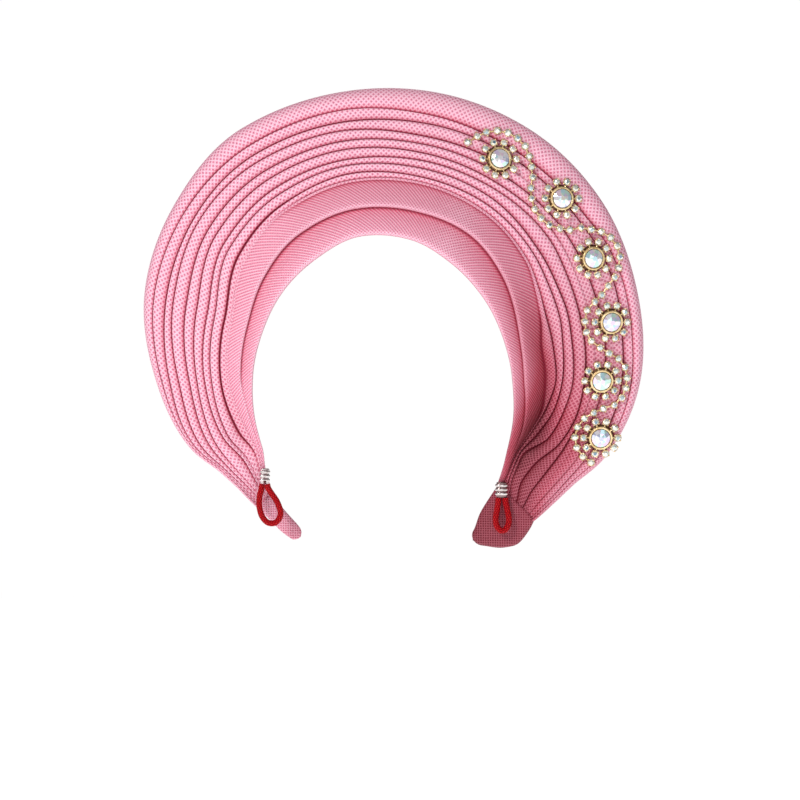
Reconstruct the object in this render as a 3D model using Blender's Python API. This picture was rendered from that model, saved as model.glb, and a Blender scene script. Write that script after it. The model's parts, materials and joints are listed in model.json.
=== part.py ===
# Ready-tied gele head tie with a rhinestone applique
#
# The head tie is a crescent-shaped hood. A pleated cloth front fans out from the brow band, rolls over
# the rim and tucks round a plain cloth back. The cloth narrows on both sides to a rolled end at the nape,
# where a ribbed clamp holds a loop of elastic.
#
# Metres. +Z is up and the front faces -Y. The origin is the centre of the head opening. Stations round
# the fan are given by their angle in degrees from the crown, positive towards +X.

import bpy
import bmesh
from math import atan2, ceil, cos, exp, pi, radians, sin
from mathutils import Matrix, Vector
from mathutils.bvhtree import BVHTree

# The fan
HEM_RADIUS = 0.0969
RIM_RADIUS = 0.2000
TILT_DEPTH = 0.100
LEAN_DEPTH = 0.030
HOOD_DEPTH = 0.074
CLOTH = 0.0020
PLEAT_RISE = 0.0032
BAND_RISE = 0.0042
ROLL_DEPTH = 0.019
TURNED_EDGE = 0.0070
BACK_HEM_INSET = 0.010
END_DEPTH = 0.0120
SEAT_GAP = 0.0003
STATION_STEP = 7.8
LEFT_TIP = -136.0
RIGHT_TIP = 134.0

# The applique
CRYSTAL_RADIUS = 0.0065
CRYSTAL_HEIGHT = 0.0034
CRYSTAL_SIDES = 12
BEZEL_WALL = 0.0014
BEZEL_HEIGHT = 0.0030
BEZEL_FLOOR = 0.0009
SMALL_STONE_RADIUS = 0.0026
SMALL_CUP_HEIGHT = 0.0011
SMALL_STONE_HEIGHT = 0.0024
SMALL_STONE_SIDES = 8
SMALL_STONE_TABLE = 0.56
RING_STONES = 10
RING_RADIUS = 0.0119
CHAIN_REACH = 0.0194
CHAIN_PITCH = 0.0074

# The clamps and the elastic
CRIMP_WIDTH = 0.0093
CRIMP_DEPTH = 0.0056
CRIMP_LENGTH = 0.0108
CRIMP_RIBS = 3
CRIMP_RIB_PITCH = 0.29
CRIMP_SIDES = 10
CORD_DIAMETER = 0.0042
CORD_POINTS = 20
SEAT_TRIES = 14

# Sections of the fan: hem is a share of HEM_RADIUS and rim of RIM_RADIUS. Lean, hood, roll and rise are
# shares of LEAN_DEPTH, HOOD_DEPTH, ROLL_DEPTH and of the heights of the folds.
SECTION_COLUMNS = ("angle", "hem", "rim", "lean", "hood", "roll", "rise")
SECTIONS = [dict(zip(SECTION_COLUMNS, row)) for row in (
    (-136, 1.154, 0.635, 0.06, 0.13, 0.62, 0.20),
    (-128, 1.085, 0.640, 0.12, 0.16, 0.64, 0.55),
    (-120, 1.014, 0.661, 0.22, 0.24, 0.68, 0.85),
    (-110, 0.982, 0.720, 0.36, 0.38, 0.76, 1.00),
    (-90, 0.943, 0.799, 0.62, 0.60, 0.90, 1.00),
    (-70, 0.929, 0.886, 0.80, 0.78, 0.96, 1.00),
    (-50, 0.946, 0.945, 0.92, 0.90, 1.00, 1.00),
    (-30, 0.971, 0.993, 1.00, 0.97, 1.00, 1.00),
    (-10, 1.014, 0.997, 1.00, 1.00, 1.00, 1.00),
    (10, 0.993, 1.000, 1.00, 1.00, 1.00, 1.00),
    (30, 0.936, 0.993, 1.00, 0.97, 1.00, 1.00),
    (50, 0.900, 0.969, 0.92, 0.90, 1.00, 1.00),
    (70, 0.886, 0.927, 0.80, 0.78, 0.96, 1.00),
    (90, 0.907, 0.889, 0.62, 0.60, 0.90, 1.00),
    (110, 0.971, 0.813, 0.36, 0.38, 0.76, 1.00),
    (120, 1.014, 0.753, 0.22, 0.26, 0.70, 0.90),
    (128, 1.068, 0.730, 0.12, 0.18, 0.66, 0.70),
    (134, 1.114, 0.720, 0.08, 0.15, 0.64, 0.40))]

# Where each fold starts, as a share of the way from hem to rim. The brow band starts at the hem. The side
# tuck is open on the right only, and elsewhere lies flat against the ninth pleat.
FOLD_COLUMNS = ("angle", "upper_band", "side_tuck", "pleat_9", "pleat_8", "pleat_7", "pleat_6",
                "pleat_5", "pleat_4", "pleat_3", "pleat_2", "rim_roll")
FOLDS = [dict(zip(FOLD_COLUMNS, row)) for row in (
    (-136, 0.06, 0.11, 0.12, 0.20, 0.30, 0.40, 0.52, 0.64, 0.76, 0.84, 0.92),
    (-120, 0.06, 0.11, 0.12, 0.18, 0.37, 0.45, 0.70, 0.79, 0.87, 0.91, 0.95),
    (-110, 0.06, 0.15, 0.16, 0.26, 0.43, 0.50, 0.64, 0.73, 0.84, 0.92, 0.96),
    (-90, 0.12, 0.25, 0.26, 0.32, 0.42, 0.49, 0.57, 0.65, 0.76, 0.85, 0.94),
    (-70, 0.13, 0.26, 0.27, 0.31, 0.40, 0.46, 0.55, 0.64, 0.75, 0.81, 0.92),
    (-50, 0.17, 0.35, 0.36, 0.40, 0.49, 0.54, 0.62, 0.69, 0.78, 0.82, 0.91),
    (-30, 0.20, 0.38, 0.39, 0.42, 0.49, 0.54, 0.61, 0.67, 0.75, 0.80, 0.88),
    (-10, 0.19, 0.38, 0.39, 0.43, 0.49, 0.53, 0.60, 0.66, 0.73, 0.79, 0.88),
    (10, 0.19, 0.38, 0.39, 0.42, 0.48, 0.53, 0.58, 0.64, 0.69, 0.78, 0.85),
    (30, 0.22, 0.39, 0.40, 0.44, 0.49, 0.55, 0.59, 0.65, 0.71, 0.78, 0.84),
    (50, 0.18, 0.37, 0.38, 0.43, 0.47, 0.57, 0.62, 0.68, 0.74, 0.80, 0.86),
    (60, 0.15, 0.33, 0.35, 0.42, 0.47, 0.56, 0.62, 0.69, 0.76, 0.83, 0.90),
    (70, 0.12, 0.29, 0.33, 0.42, 0.48, 0.56, 0.63, 0.70, 0.77, 0.85, 0.92),
    (80, 0.10, 0.25, 0.33, 0.40, 0.47, 0.56, 0.63, 0.71, 0.77, 0.84, 0.92),
    (90, 0.09, 0.26, 0.34, 0.39, 0.47, 0.56, 0.64, 0.71, 0.78, 0.85, 0.93),
    (100, 0.10, 0.26, 0.29, 0.36, 0.44, 0.56, 0.62, 0.70, 0.77, 0.86, 0.94),
    (110, 0.11, 0.20, 0.21, 0.27, 0.39, 0.52, 0.58, 0.67, 0.76, 0.84, 0.94),
    (120, 0.10, 0.13, 0.14, 0.17, 0.21, 0.41, 0.60, 0.70, 0.80, 0.89, 0.95),
    (127, 0.08, 0.11, 0.12, 0.16, 0.21, 0.37, 0.59, 0.69, 0.80, 0.90, 0.95),
    (134, 0.06, 0.11, 0.12, 0.20, 0.30, 0.50, 0.66, 0.74, 0.83, 0.90, 0.95))]
PLEATS = FOLD_COLUMNS[3:-1]

# How sharp the crease at each fold's start is: 1 is a deep crease and 0 is pressed flat.
CREASES = [dict(zip(FOLD_COLUMNS, row)) for row in (
    (-136, 0.3, 0.0, 0.3, 0.4, 0.5, 0.6, 0.6, 0.6, 0.6, 0.4, 0.3),
    (-125, 0.2, 0.0, 0.2, 0.4, 0.5, 1.0, 0.7, 1.0, 0.8, 0.4, 0.3),
    (-112, 0.1, 0.0, 0.1, 0.9, 1.0, 1.0, 1.0, 1.0, 1.0, 0.8, 0.3),
    (-98, 0.2, 0.0, 0.1, 1.0, 1.0, 1.0, 1.0, 1.0, 1.0, 1.0, 0.7),
    (-84, 0.9, 0.0, 0.1, 1.0, 1.0, 1.0, 1.0, 1.0, 1.0, 1.0, 1.0),
    (-40, 1.0, 0.0, 0.1, 1.0, 1.0, 1.0, 1.0, 1.0, 1.0, 1.0, 1.0),
    (-22, 1.0, 0.0, 1.0, 1.0, 1.0, 1.0, 1.0, 1.0, 1.0, 1.0, 1.0),
    (25, 1.0, 0.0, 1.0, 1.0, 1.0, 1.0, 1.0, 1.0, 1.0, 1.0, 1.0),
    (38, 1.0, 0.0, 1.0, 1.0, 1.0, 1.0, 1.0, 1.0, 0.3, 1.0, 1.0),
    (50, 1.0, 0.0, 1.0, 1.0, 1.0, 1.0, 0.8, 1.0, 0.1, 1.0, 1.0),
    (62, 1.0, 0.3, 1.0, 1.0, 1.0, 1.0, 0.2, 1.0, 0.1, 1.0, 1.0),
    (72, 1.0, 1.0, 1.0, 1.0, 1.0, 1.0, 0.1, 1.0, 0.1, 1.0, 1.0),
    (100, 0.9, 1.0, 1.0, 1.0, 0.9, 1.0, 0.2, 0.8, 0.2, 1.0, 0.7),
    (108, 0.7, 0.5, 1.0, 1.0, 1.0, 1.0, 1.0, 0.4, 0.4, 0.8, 0.4),
    (118, 0.4, 0.1, 1.0, 1.0, 1.0, 1.0, 1.0, 0.2, 0.5, 0.6, 0.3),
    (127, 0.2, 0.0, 0.8, 0.8, 0.8, 1.0, 1.0, 0.2, 0.6, 0.5, 0.2),
    (134, 0.1, 0.0, 0.5, 0.7, 0.6, 1.0, 1.0, 0.3, 0.5, 0.4, 0.2))]

# Soft hollows between the folds: share is the way from hem to rim, depth is pushed towards the back.
HOLLOW_COLUMNS = ("angle", "half_angle", "share", "half_share", "depth")
HOLLOWS = [dict(zip(HOLLOW_COLUMNS, row)) for row in (
    (84, 20, 0.30, 0.13, 0.0070),
    (106, 12, 0.29, 0.10, 0.0070),
    (-112, 12, 0.30, 0.12, 0.0030))]

# The rolled ends: inner is a share of HEM_RADIUS, outer of RIM_RADIUS and depth of END_DEPTH.
END_COLUMNS = ("angle", "inner", "outer", "depth")
LEFT_END = [dict(zip(END_COLUMNS, row)) for row in (
    (-136.2, 1.160, 0.634, 0.90),
    (-141.0, 1.186, 0.637, 0.86),
    (-146.0, 1.210, 0.646, 0.80),
    (-150.0, 1.236, 0.649, 0.66),
    (-152.0, 1.262, 0.640, 0.36))]
RIGHT_END = [dict(zip(END_COLUMNS, row)) for row in (
    (134.2, 1.120, 0.721, 0.95),
    (137.0, 1.132, 0.732, 1.12),
    (141.0, 1.155, 0.741, 1.20),
    (145.0, 1.190, 0.722, 1.15),
    (149.0, 1.255, 0.684, 0.95),
    (151.6, 1.300, 0.658, 0.50))]
END_SIDES = 14
END_SQUARENESS = 0.72
END_SETBACK = 0.30

# The flowers, by their angle and their share of the way from hem to rim
FLOWER_COLUMNS = ("angle", "share")
FLOWERS = [dict(zip(FLOWER_COLUMNS, row)) for row in (
    (27.5, 0.725), (44.4, 0.792), (59.9, 0.760), (75.9, 0.767), (90.5, 0.688), (105.3, 0.842))]

# The large crystal's crown narrows in steps: size is a share of the step below, and rise a share of the
# stone's height over the floor of its bezel.
CROWN_COLUMNS = ("size", "rise")
CROWN_STEPS = [dict(zip(CROWN_COLUMNS, row)) for row in ((0.80, 0.45), (0.66, 0.25))]

# The chain winds round the flowers. Bearings are clockwise from the crown, and start, middle and end are
# shares of CHAIN_REACH.
ARC_COLUMNS = ("from_bearing", "to_bearing", "start", "middle", "end")
CHAIN_ARCS = [dict(zip(ARC_COLUMNS, row)) for row in (
    (-61, 112, 1.26, 1.00, 1.28),
    (-76, -190, 1.12, 1.02, 1.12),
    (-20, 148, 1.14, 0.98, 1.12),
    (-22, -172, 0.98, 0.93, 1.06),
    (32, 180, 1.00, 0.95, 1.04),
    (-22, -160, 0.93, 0.92, 0.95))]
ARC_POINTS = 5

# The elastic, seen from its clamp: sideways, drop and depth are shares of CORD_LOOP
CORD_LOOP = 0.0300
CORD_COLUMNS = ("sideways", "drop", "depth")
LEFT_CORD = [dict(zip(CORD_COLUMNS, row)) for row in (
    (-0.060, 0.000, 0.050), (-0.080, 0.100, 0.045), (-0.150, 0.300, 0.020), (-0.165, 0.500, 0.010),
    (-0.090, 0.720, 0.000), (0.060, 0.850, -0.010), (0.240, 0.860, -0.020), (0.350, 0.760, -0.030),
    (0.370, 0.600, -0.040), (0.290, 0.400, -0.055), (0.170, 0.220, -0.085), (0.090, 0.090, -0.115),
    (0.070, 0.000, -0.120))]
RIGHT_CORD = [dict(zip(CORD_COLUMNS, row)) for row in (
    (-0.078, 0.000, 0.000), (-0.082, 0.100, 0.000), (-0.110, 0.280, -0.005), (-0.140, 0.480, -0.010),
    (-0.120, 0.640, -0.010), (-0.040, 0.745, -0.010), (0.060, 0.750, -0.010), (0.140, 0.650, -0.010),
    (0.165, 0.480, -0.010), (0.130, 0.280, -0.005), (0.088, 0.100, 0.000), (0.084, 0.000, 0.000))]

CRIMP_COLUMNS = ("side", "angle", "inset", "turn", "lean")
CRIMPS = [dict(zip(CRIMP_COLUMNS, row)) for row in (
    ("left", -129.1, 0.0017, 52.0, 3.0),
    ("right", 133.7, 0.0046, 8.0, 0.0))]


def collection_named(name):
    """A new collection in the scene."""
    collection = bpy.data.collections.new(name)
    bpy.context.scene.collection.children.link(collection)
    return collection


def material(name, colour, roughness, metallic=0.0):
    """A plain finish with the colour, roughness and metallic value of the real piece."""
    finish = bpy.data.materials.new(name)
    finish.use_nodes = True
    shader = finish.node_tree.nodes["Principled BSDF"]
    shader.inputs["Base Color"].default_value = (*colour, 1.0)
    shader.inputs["Roughness"].default_value = roughness
    shader.inputs["Metallic"].default_value = metallic
    return finish


def add_object(name, mesh_builder, finish, smooth=True):
    """Turn a finished bmesh into a named object of the head tie."""
    bmesh.ops.recalc_face_normals(mesh_builder, faces=mesh_builder.faces)
    mesh = bpy.data.meshes.new(name)
    mesh_builder.to_mesh(mesh)
    mesh_builder.free()
    if smooth:
        mesh.shade_smooth()
        mesh.set_sharp_from_angle(angle=radians(35))
    piece = bpy.data.objects.new(name, mesh)
    piece.data.materials.append(finish)
    head_tie.objects.link(piece)
    return piece


def read(rows, column, angle):
    """A table's value at an angle, on a smooth curve that never overshoots its rows."""
    angles = [row["angle"] for row in rows]
    values = [row[column] for row in rows]
    if angles[0] > angles[-1]:
        angles.reverse()
        values.reverse()
    angle = min(max(angle, angles[0]), angles[-1])
    place = max(i for i in range(len(angles) - 1) if angles[i] <= angle)
    spans = [b - a for a, b in zip(angles, angles[1:])]
    rates = [(b - a) / span for a, b, span in zip(values, values[1:], spans)]

    def slope(i):
        if i == 0 or i == len(angles) - 1:
            return rates[min(i, len(rates) - 1)]
        before, after = rates[i - 1], rates[i]
        return 0.0 if before * after <= 0 else 2 * before * after / (before + after)

    span = spans[place]
    t = (angle - angles[place]) / span
    start, end = values[place], values[place + 1]
    lift = (1 - t) ** 2 * t * slope(place) * span - t ** 2 * (1 - t) * slope(place + 1) * span
    return start + (end - start) * t * t * (3 - 2 * t) + lift


def chart(angle, radius, depth):
    """A point of the fan from its angle, its distance from the origin and its depth."""
    turn = radians(angle)
    return Vector((radius * sin(turn), depth, radius * cos(turn)))


def hem_depth(angle):
    """The hem lies in a tilted opening: foremost at the forehead, furthest back at the nape."""
    return -0.5 * TILT_DEPTH * cos(radians(angle))


def fan_radius(angle, share):
    """Distance from the origin at a share of the way from hem to rim."""
    hem = HEM_RADIUS * read(SECTIONS, "hem", angle)
    rim = RIM_RADIUS * read(SECTIONS, "rim", angle)
    return hem + (rim - hem) * share


def cloth_depth(angle, share):
    """Depth of the creases of the front, without the height of its folds."""
    depth = hem_depth(angle) + LEAN_DEPTH * read(SECTIONS, "lean", angle) * share ** 1.25
    for hollow in HOLLOWS:
        across = ((angle - hollow["angle"]) / hollow["half_angle"]) ** 2
        along = ((share - hollow["share"]) / hollow["half_share"]) ** 2
        depth += hollow["depth"] * exp(-across - along)
    return depth


def fold_heights(angle):
    """The folds of one section: pairs of a share of the way from hem to rim and a height."""
    size = read(SECTIONS, "rise", angle)
    starts = {name: read(FOLDS, name, angle) for name in FOLD_COLUMNS[1:]}
    flats = {name: 1 - read(CREASES, name, angle) for name in FOLD_COLUMNS[1:]}
    band, pleat = BAND_RISE * size, PLEAT_RISE * size
    first, second = starts["upper_band"], starts["side_tuck"]
    open_band, open_tuck = flats["upper_band"], flats["side_tuck"]
    folds = [(0.0, 0.35 * band), (0.22 * first, band), (0.65 * first, 0.62 * band)]
    folds.append((first, 0.55 * band * open_band))
    folds.append((first + 0.13 * (second - first), band * (1 - 0.4 * open_band)))
    folds.append((first + 0.60 * (second - first), 0.5 * band))
    settled = 0.2 + 0.7 * flats["pleat_9"]
    folds.append((second, pleat * settled * open_tuck))
    folds.append((0.5 * (second + starts["pleat_9"]), pleat * (0.85 + (settled - 0.85) * open_tuck)))
    names = PLEATS + ("rim_roll",)
    for name, following in zip(names, names[1:]):
        start, end = starts[name], starts[following]
        folds.append((start, 0.9 * pleat * flats[name]))
        folds.append((start + 0.45 * (end - start), pleat * (0.72 + 0.2 * flats[name])))
        folds.append((start + 0.86 * (end - start), pleat))
    folds.append((starts["rim_roll"], 0.9 * pleat * flats["rim_roll"]))
    return folds


def roll_arc(angle):
    """Centre and half sizes of the rolled rim: radial place, depth, radial half, depth half."""
    start = read(FOLDS, "rim_roll", angle)
    inner, outer = fan_radius(angle, start), fan_radius(angle, 1.0)
    centre = inner + 0.25 * (outer - inner)
    half_depth = 0.5 * ROLL_DEPTH * read(SECTIONS, "roll", angle)
    depth = cloth_depth(angle, start) + 0.5 * half_depth
    return centre, depth, outer - centre, half_depth


def front_section(angle):
    """Closed outline of the pleated front at one angle, as points of the fan."""
    outline = [chart(angle, fan_radius(angle, share), cloth_depth(angle, share) - height)
               for share, height in fold_heights(angle)]
    centre, depth, half, half_depth = roll_arc(angle)
    for turn in (112, 80, 48, 18, -14, -50):
        swing = radians(turn)
        outline.append(chart(angle, centre + half * cos(swing), depth - half_depth * sin(swing)))
    outline.append(chart(angle, centre, depth + half_depth))
    outline.append(chart(angle, centre - TURNED_EDGE, depth + half_depth))
    outline.append(chart(angle, centre - TURNED_EDGE, depth + half_depth - CLOTH))
    inner_half, inner_depth = max(half - CLOTH, 0.4 * half), half_depth - CLOTH
    for turn in (-90, -30, 30, 90):
        swing = radians(turn)
        outline.append(chart(angle, centre + inner_half * cos(swing), depth - inner_depth * sin(swing)))
    start = read(FOLDS, "rim_roll", angle)
    for part in (0.97, 0.72, 0.46, 0.22, 0.0):
        share = part * start
        outline.append(chart(angle, fan_radius(angle, share), cloth_depth(angle, share) + CLOTH))
    return outline


def back_section(angle):
    """Closed outline of the plain back at one angle. It starts under the rim's turned edge."""
    centre, depth, half, half_depth = roll_arc(angle)
    outer = depth + half_depth - CLOTH - SEAT_GAP
    top = centre
    shoulder = centre - TURNED_EDGE - 2 * SEAT_GAP
    low = HEM_RADIUS * read(SECTIONS, "hem", angle) + BACK_HEM_INSET * read(SECTIONS, "hood", angle)
    low_depth = hem_depth(angle) + HOOD_DEPTH * read(SECTIONS, "hood", angle)
    low_depth = max(low_depth, outer)
    outside = [(top, outer), (shoulder, outer)]
    for part in (0.18, 0.42, 0.70, 1.0):
        swell = sin(0.5 * pi * part)
        outside.append((shoulder + (low - shoulder) * part, outer + (low_depth - outer) * swell))
    inside = []
    for i, (radius, place) in enumerate(outside):
        before = Vector(outside[max(i - 1, 0)])
        after = Vector(outside[min(i + 1, len(outside) - 1)])
        along = (after - before).normalized()
        inside.append((radius + along.y * CLOTH, place + along.x * CLOTH))
    inside[0] = (top, outer - CLOTH)
    outline = [chart(angle, radius, place) for radius, place in outside]
    outline += [chart(angle, radius, place) for radius, place in reversed(inside)]
    return outline


def end_section(rows, angle):
    """Closed outline of a rolled cloth end at one angle: a rounded box."""
    inner = HEM_RADIUS * read(rows, "inner", angle)
    outer = RIM_RADIUS * read(rows, "outer", angle)
    half_depth = 0.5 * END_DEPTH * read(rows, "depth", angle)
    middle = hem_depth(angle) + END_SETBACK * END_DEPTH
    outline = []
    for side in range(END_SIDES):
        swing = 2 * pi * side / END_SIDES
        across, along = cos(swing), sin(swing)
        across = abs(across) ** END_SQUARENESS * (1 if across > 0 else -1)
        along = abs(along) ** END_SQUARENESS * (1 if along > 0 else -1)
        radius = 0.5 * (inner + outer) + 0.5 * (outer - inner) * across
        outline.append(chart(angle, radius, middle + half_depth * along))
    return outline


def loft(sections):
    """One closed body through a run of closed outlines with as many points each."""
    builder = bmesh.new()
    rings = [[builder.verts.new(point) for point in section] for section in sections]
    for near, far in zip(rings, rings[1:]):
        for i in range(len(near)):
            j = (i + 1) % len(near)
            builder.faces.new((near[i], near[j], far[j], far[i]))
    for ring in (rings[0], rings[-1]):
        cap = builder.faces.new(ring)
        bmesh.ops.triangulate(builder, faces=[cap])
    return builder


def stations(low, high, step):
    """Evenly spread angles from one end to the other."""
    count = ceil((high - low) / step)
    return [low + (high - low) * i / count for i in range(count + 1)]


def make_cloth():
    """The pleated front, the plain back and the two rolled ends."""
    angles = stations(LEFT_TIP, RIGHT_TIP, STATION_STEP)
    front = add_object("gele_front", loft([front_section(angle) for angle in angles]), pink_cloth)
    add_object("gele_back", loft([back_section(angle) for angle in angles]), pink_lining)
    left = loft([end_section(LEFT_END, row["angle"]) for row in LEFT_END])
    tie_left = add_object("tie_end_left", left, pink_cloth)
    right = loft([end_section(RIGHT_END, row["angle"]) for row in RIGHT_END])
    tie_right = add_object("tie_end_right", right, pink_cloth)
    return front, tie_left, tie_right


def surface_of(pieces):
    """A search tree of the given pieces, for setting other pieces on them."""
    joined = bmesh.new()
    for piece in pieces:
        joined.from_mesh(piece.data)
    tree = BVHTree.FromBMesh(joined)
    joined.free()
    return tree


def front_of(tree, x, z):
    """Depth of the cloth that is seen at a place from the front, or None beside the cloth."""
    hit = tree.ray_cast(Vector((x, -1.0, z)), Vector((0.0, 1.0, 0.0)))
    return hit[0].y if hit[0] is not None else None


def seat(tree, x, z, reach):
    """A frame that stands on the cloth: its Z points away from it and clears its highest fold."""
    samples = []
    for ring in (0.0, 0.35, 0.7, 1.0):
        for i in range(16 if ring else 1):
            turn = 2 * pi * i / 16
            dx, dz = reach * ring * cos(turn), reach * ring * sin(turn)
            depth = front_of(tree, x + dx, z + dz)
            if depth is not None:
                samples.append((dx, depth, dz))
    mean = sum(depth for _, depth, _ in samples) / len(samples)
    slope_x = sum(dx * (depth - mean) for dx, depth, _ in samples) / sum(dx * dx for dx, _, _ in samples)
    slope_z = sum(dz * (depth - mean) for _, depth, dz in samples) / sum(dz * dz for _, _, dz in samples)
    outward = Vector((slope_x, -1.0, slope_z)).normalized()
    lift = max(outward.dot(Vector((dx, depth - mean, dz))) for dx, depth, dz in samples)
    place = Vector((x, mean, z)) + outward * (lift + SEAT_GAP)
    return Matrix.Translation(place) @ outward.to_track_quat("Z", "Y").to_matrix().to_4x4()


def prism(builder, frame, radius, low, high, sides, turn=0.0):
    """An upright prism in a frame. Returns its wall faces in order and its top face."""
    rings = []
    for height in (low, high):
        ring = []
        for i in range(sides):
            swing = turn + 2 * pi * (i - 0.5) / sides
            ring.append(builder.verts.new(frame @ Vector((radius * cos(swing), radius * sin(swing), height))))
        rings.append(ring)
    walls = []
    for i in range(sides):
        j = (i + 1) % sides
        walls.append(builder.faces.new((rings[0][i], rings[0][j], rings[1][j], rings[1][i])))
    builder.faces.new(rings[0][::-1])
    top = builder.faces.new(rings[1])
    return walls, top


def inset(builder, face, share, lift):
    """Inset a face towards its middle by a share of its size and move it along a vector."""
    made = bmesh.ops.extrude_discrete_faces(builder, faces=[face])["faces"][0]
    middle = made.calc_center_median()
    for vertex in made.verts:
        vertex.co = middle + (vertex.co - middle) * share + lift
    return made


def small_stone(builder, frame, turn):
    """A small cut stone in its cup: eight crown facets and a table. Returns the cup's walls."""
    walls, top = prism(builder, frame, SMALL_STONE_RADIUS, 0.0, SMALL_CUP_HEIGHT, SMALL_STONE_SIDES, turn)
    up = frame.to_3x3() @ Vector((0.0, 0.0, SMALL_STONE_HEIGHT - SMALL_CUP_HEIGHT))
    inset(builder, top, SMALL_STONE_TABLE, up)
    return walls


def link(builder, wall_a, wall_b):
    """Join two cups by a solid link between two facing walls."""
    bmesh.ops.bridge_loops(builder, edges=list(wall_a.edges) + list(wall_b.edges))
    bmesh.ops.delete(builder, geom=[wall_a, wall_b], context="FACES_ONLY")


def facing(walls, target):
    """The wall whose middle lies nearest a point."""
    return min(walls, key=lambda wall: (wall.calc_center_median() - target).length)


def make_flower(number, frame):
    """A gold bezel with a ring of small stones fused to it, and the large crystal in the bezel."""
    builder = bmesh.new()
    bezel_radius = CRYSTAL_RADIUS + SEAT_GAP + BEZEL_WALL
    walls, top = prism(builder, frame, bezel_radius, 0.0, BEZEL_HEIGHT, 2 * RING_STONES)
    up = frame.to_3x3() @ Vector((0.0, 0.0, 1.0))
    opening = inset(builder, top, (CRYSTAL_RADIUS + SEAT_GAP) / bezel_radius, 0.0 * up)
    inset(builder, opening, 1.0, -(BEZEL_HEIGHT - BEZEL_FLOOR) * up)
    centre = frame @ Vector((0.0, 0.0, 0.5 * SMALL_CUP_HEIGHT))
    cups = []
    for i in range(RING_STONES):
        turn = 2 * pi * i / RING_STONES
        place = frame @ Matrix.Rotation(turn, 4, "Z") @ Matrix.Translation((RING_RADIUS, 0.0, 0.0))
        cups.append(small_stone(builder, place, pi))
    for i, cup in enumerate(cups):
        link(builder, facing(cup, centre), walls[(2 * i) % len(walls)])
    builder.normal_update()
    add_object(f"flower_setting_{number}", builder, pale_gold, smooth=False)
    stone = bmesh.new()
    seat_height = BEZEL_FLOOR + SEAT_GAP
    girdle = BEZEL_HEIGHT + SEAT_GAP
    inner_radius = CRYSTAL_RADIUS * cos(pi / (2 * RING_STONES))
    _, table = prism(stone, frame, inner_radius, seat_height, girdle, CRYSTAL_SIDES)
    for step in CROWN_STEPS:
        table = inset(stone, table, step["size"], step["rise"] * (CRYSTAL_HEIGHT - BEZEL_FLOOR) * up)
    add_object(f"flower_crystal_{number}", stone, crystal, smooth=False)


def flower_places():
    """Where each flower stands, as seen from the front."""
    places = []
    for row in FLOWERS:
        point = chart(row["angle"], fan_radius(row["angle"], row["share"]), 0.0)
        places.append((point.x, point.z))
    return places


def spline(points, per_span):
    """A smooth curve through a list of points, as many more points."""
    ends = [2 * points[0] - points[1]] + points + [2 * points[-1] - points[-2]]
    curve = []
    for a, b, c, d in zip(ends, ends[1:], ends[2:], ends[3:]):
        for i in range(per_span):
            t = i / per_span
            curve.append(0.5 * (2 * b + (c - a) * t + (2 * a - 5 * b + 4 * c - d) * t ** 2
                                + (3 * b - a - 3 * c + d) * t ** 3))
    return curve + [points[-1]]


def evenly(curve, count):
    """As many points at equal distances along a curve of straight pieces."""
    lengths = [0.0]
    for a, b in zip(curve, curve[1:]):
        lengths.append(lengths[-1] + (b - a).length)
    spread = []
    place = 0
    for i in range(count):
        target = lengths[-1] * i / (count - 1)
        while place < len(curve) - 2 and lengths[place + 1] < target:
            place += 1
        share = (target - lengths[place]) / (lengths[place + 1] - lengths[place])
        spread.append(curve[place].lerp(curve[place + 1], share))
    return spread


def chain_route():
    """The places of the chain's stones, as seen from the front."""
    route = []
    for (x, z), arc in zip(flower_places(), CHAIN_ARCS):
        for i in range(ARC_POINTS):
            t = i / (ARC_POINTS - 1)
            bearing = radians(arc["from_bearing"] + (arc["to_bearing"] - arc["from_bearing"]) * t)
            ends = arc["start"] * (1 - t) + arc["end"] * t
            reach = CHAIN_REACH * (arc["middle"] + (ends - arc["middle"]) * abs(2 * t - 1) ** 2)
            route.append(Vector((x + reach * sin(bearing), z + reach * cos(bearing))))
    curve = spline(route, 12)
    length = sum((b - a).length for a, b in zip(curve, curve[1:]))
    return evenly(curve, round(length / CHAIN_PITCH) + 1)


def make_chain(name, frames, towards):
    """A run of small stones, each joined to the next by a link."""
    builder = bmesh.new()
    last = None
    for frame, ahead in zip(frames, towards):
        local = frame.inverted() @ ahead
        cup = small_stone(builder, frame, atan2(local.y, local.x))
        if last:
            near = facing(last, frame @ Vector((0.0, 0.0, 0.5 * SMALL_CUP_HEIGHT)))
            far = facing(cup, near.calc_center_median())
            link(builder, near, far)
            cup.remove(far)
        last = cup
    add_object(name, builder, pale_gold, smooth=False)


def make_applique(tree):
    """The six flowers and the chain of small stones, set on the highest folds below them."""
    flower_reach = RING_RADIUS + SMALL_STONE_RADIUS
    for number, (x, z) in enumerate(flower_places(), start=1):
        make_flower(number, seat(tree, x, z, flower_reach))
    route = chain_route()
    frames = [seat(tree, point.x, point.y, 0.5 * CHAIN_PITCH + SEAT_GAP) for point in route]
    middles = [frame.translation for frame in frames]
    ahead = middles[1:] + [2 * middles[-1] - middles[-2]]
    half = len(frames) // 2
    make_chain("stone_chain_upper", frames[:half], ahead[:half])
    make_chain("stone_chain_lower", frames[half:], ahead[half:])


def closest_seat(builder, tree, place):
    """Depth at which a piece that comes from the front first touches the cloth behind it."""
    clear, reached = place.y - RIM_RADIUS, place.y + RIM_RADIUS
    for _ in range(SEAT_TRIES):
        middle = 0.5 * (clear + reached)
        tried = builder.copy()
        bmesh.ops.translate(tried, verts=tried.verts, vec=(place.x, middle, place.z))
        touches = BVHTree.FromBMesh(tried).overlap(tree)
        behind = front_of(tree, place.x, place.z)
        tried.free()
        if touches or (behind is not None and middle > behind):
            reached = middle
        else:
            clear = middle
    return clear


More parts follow.
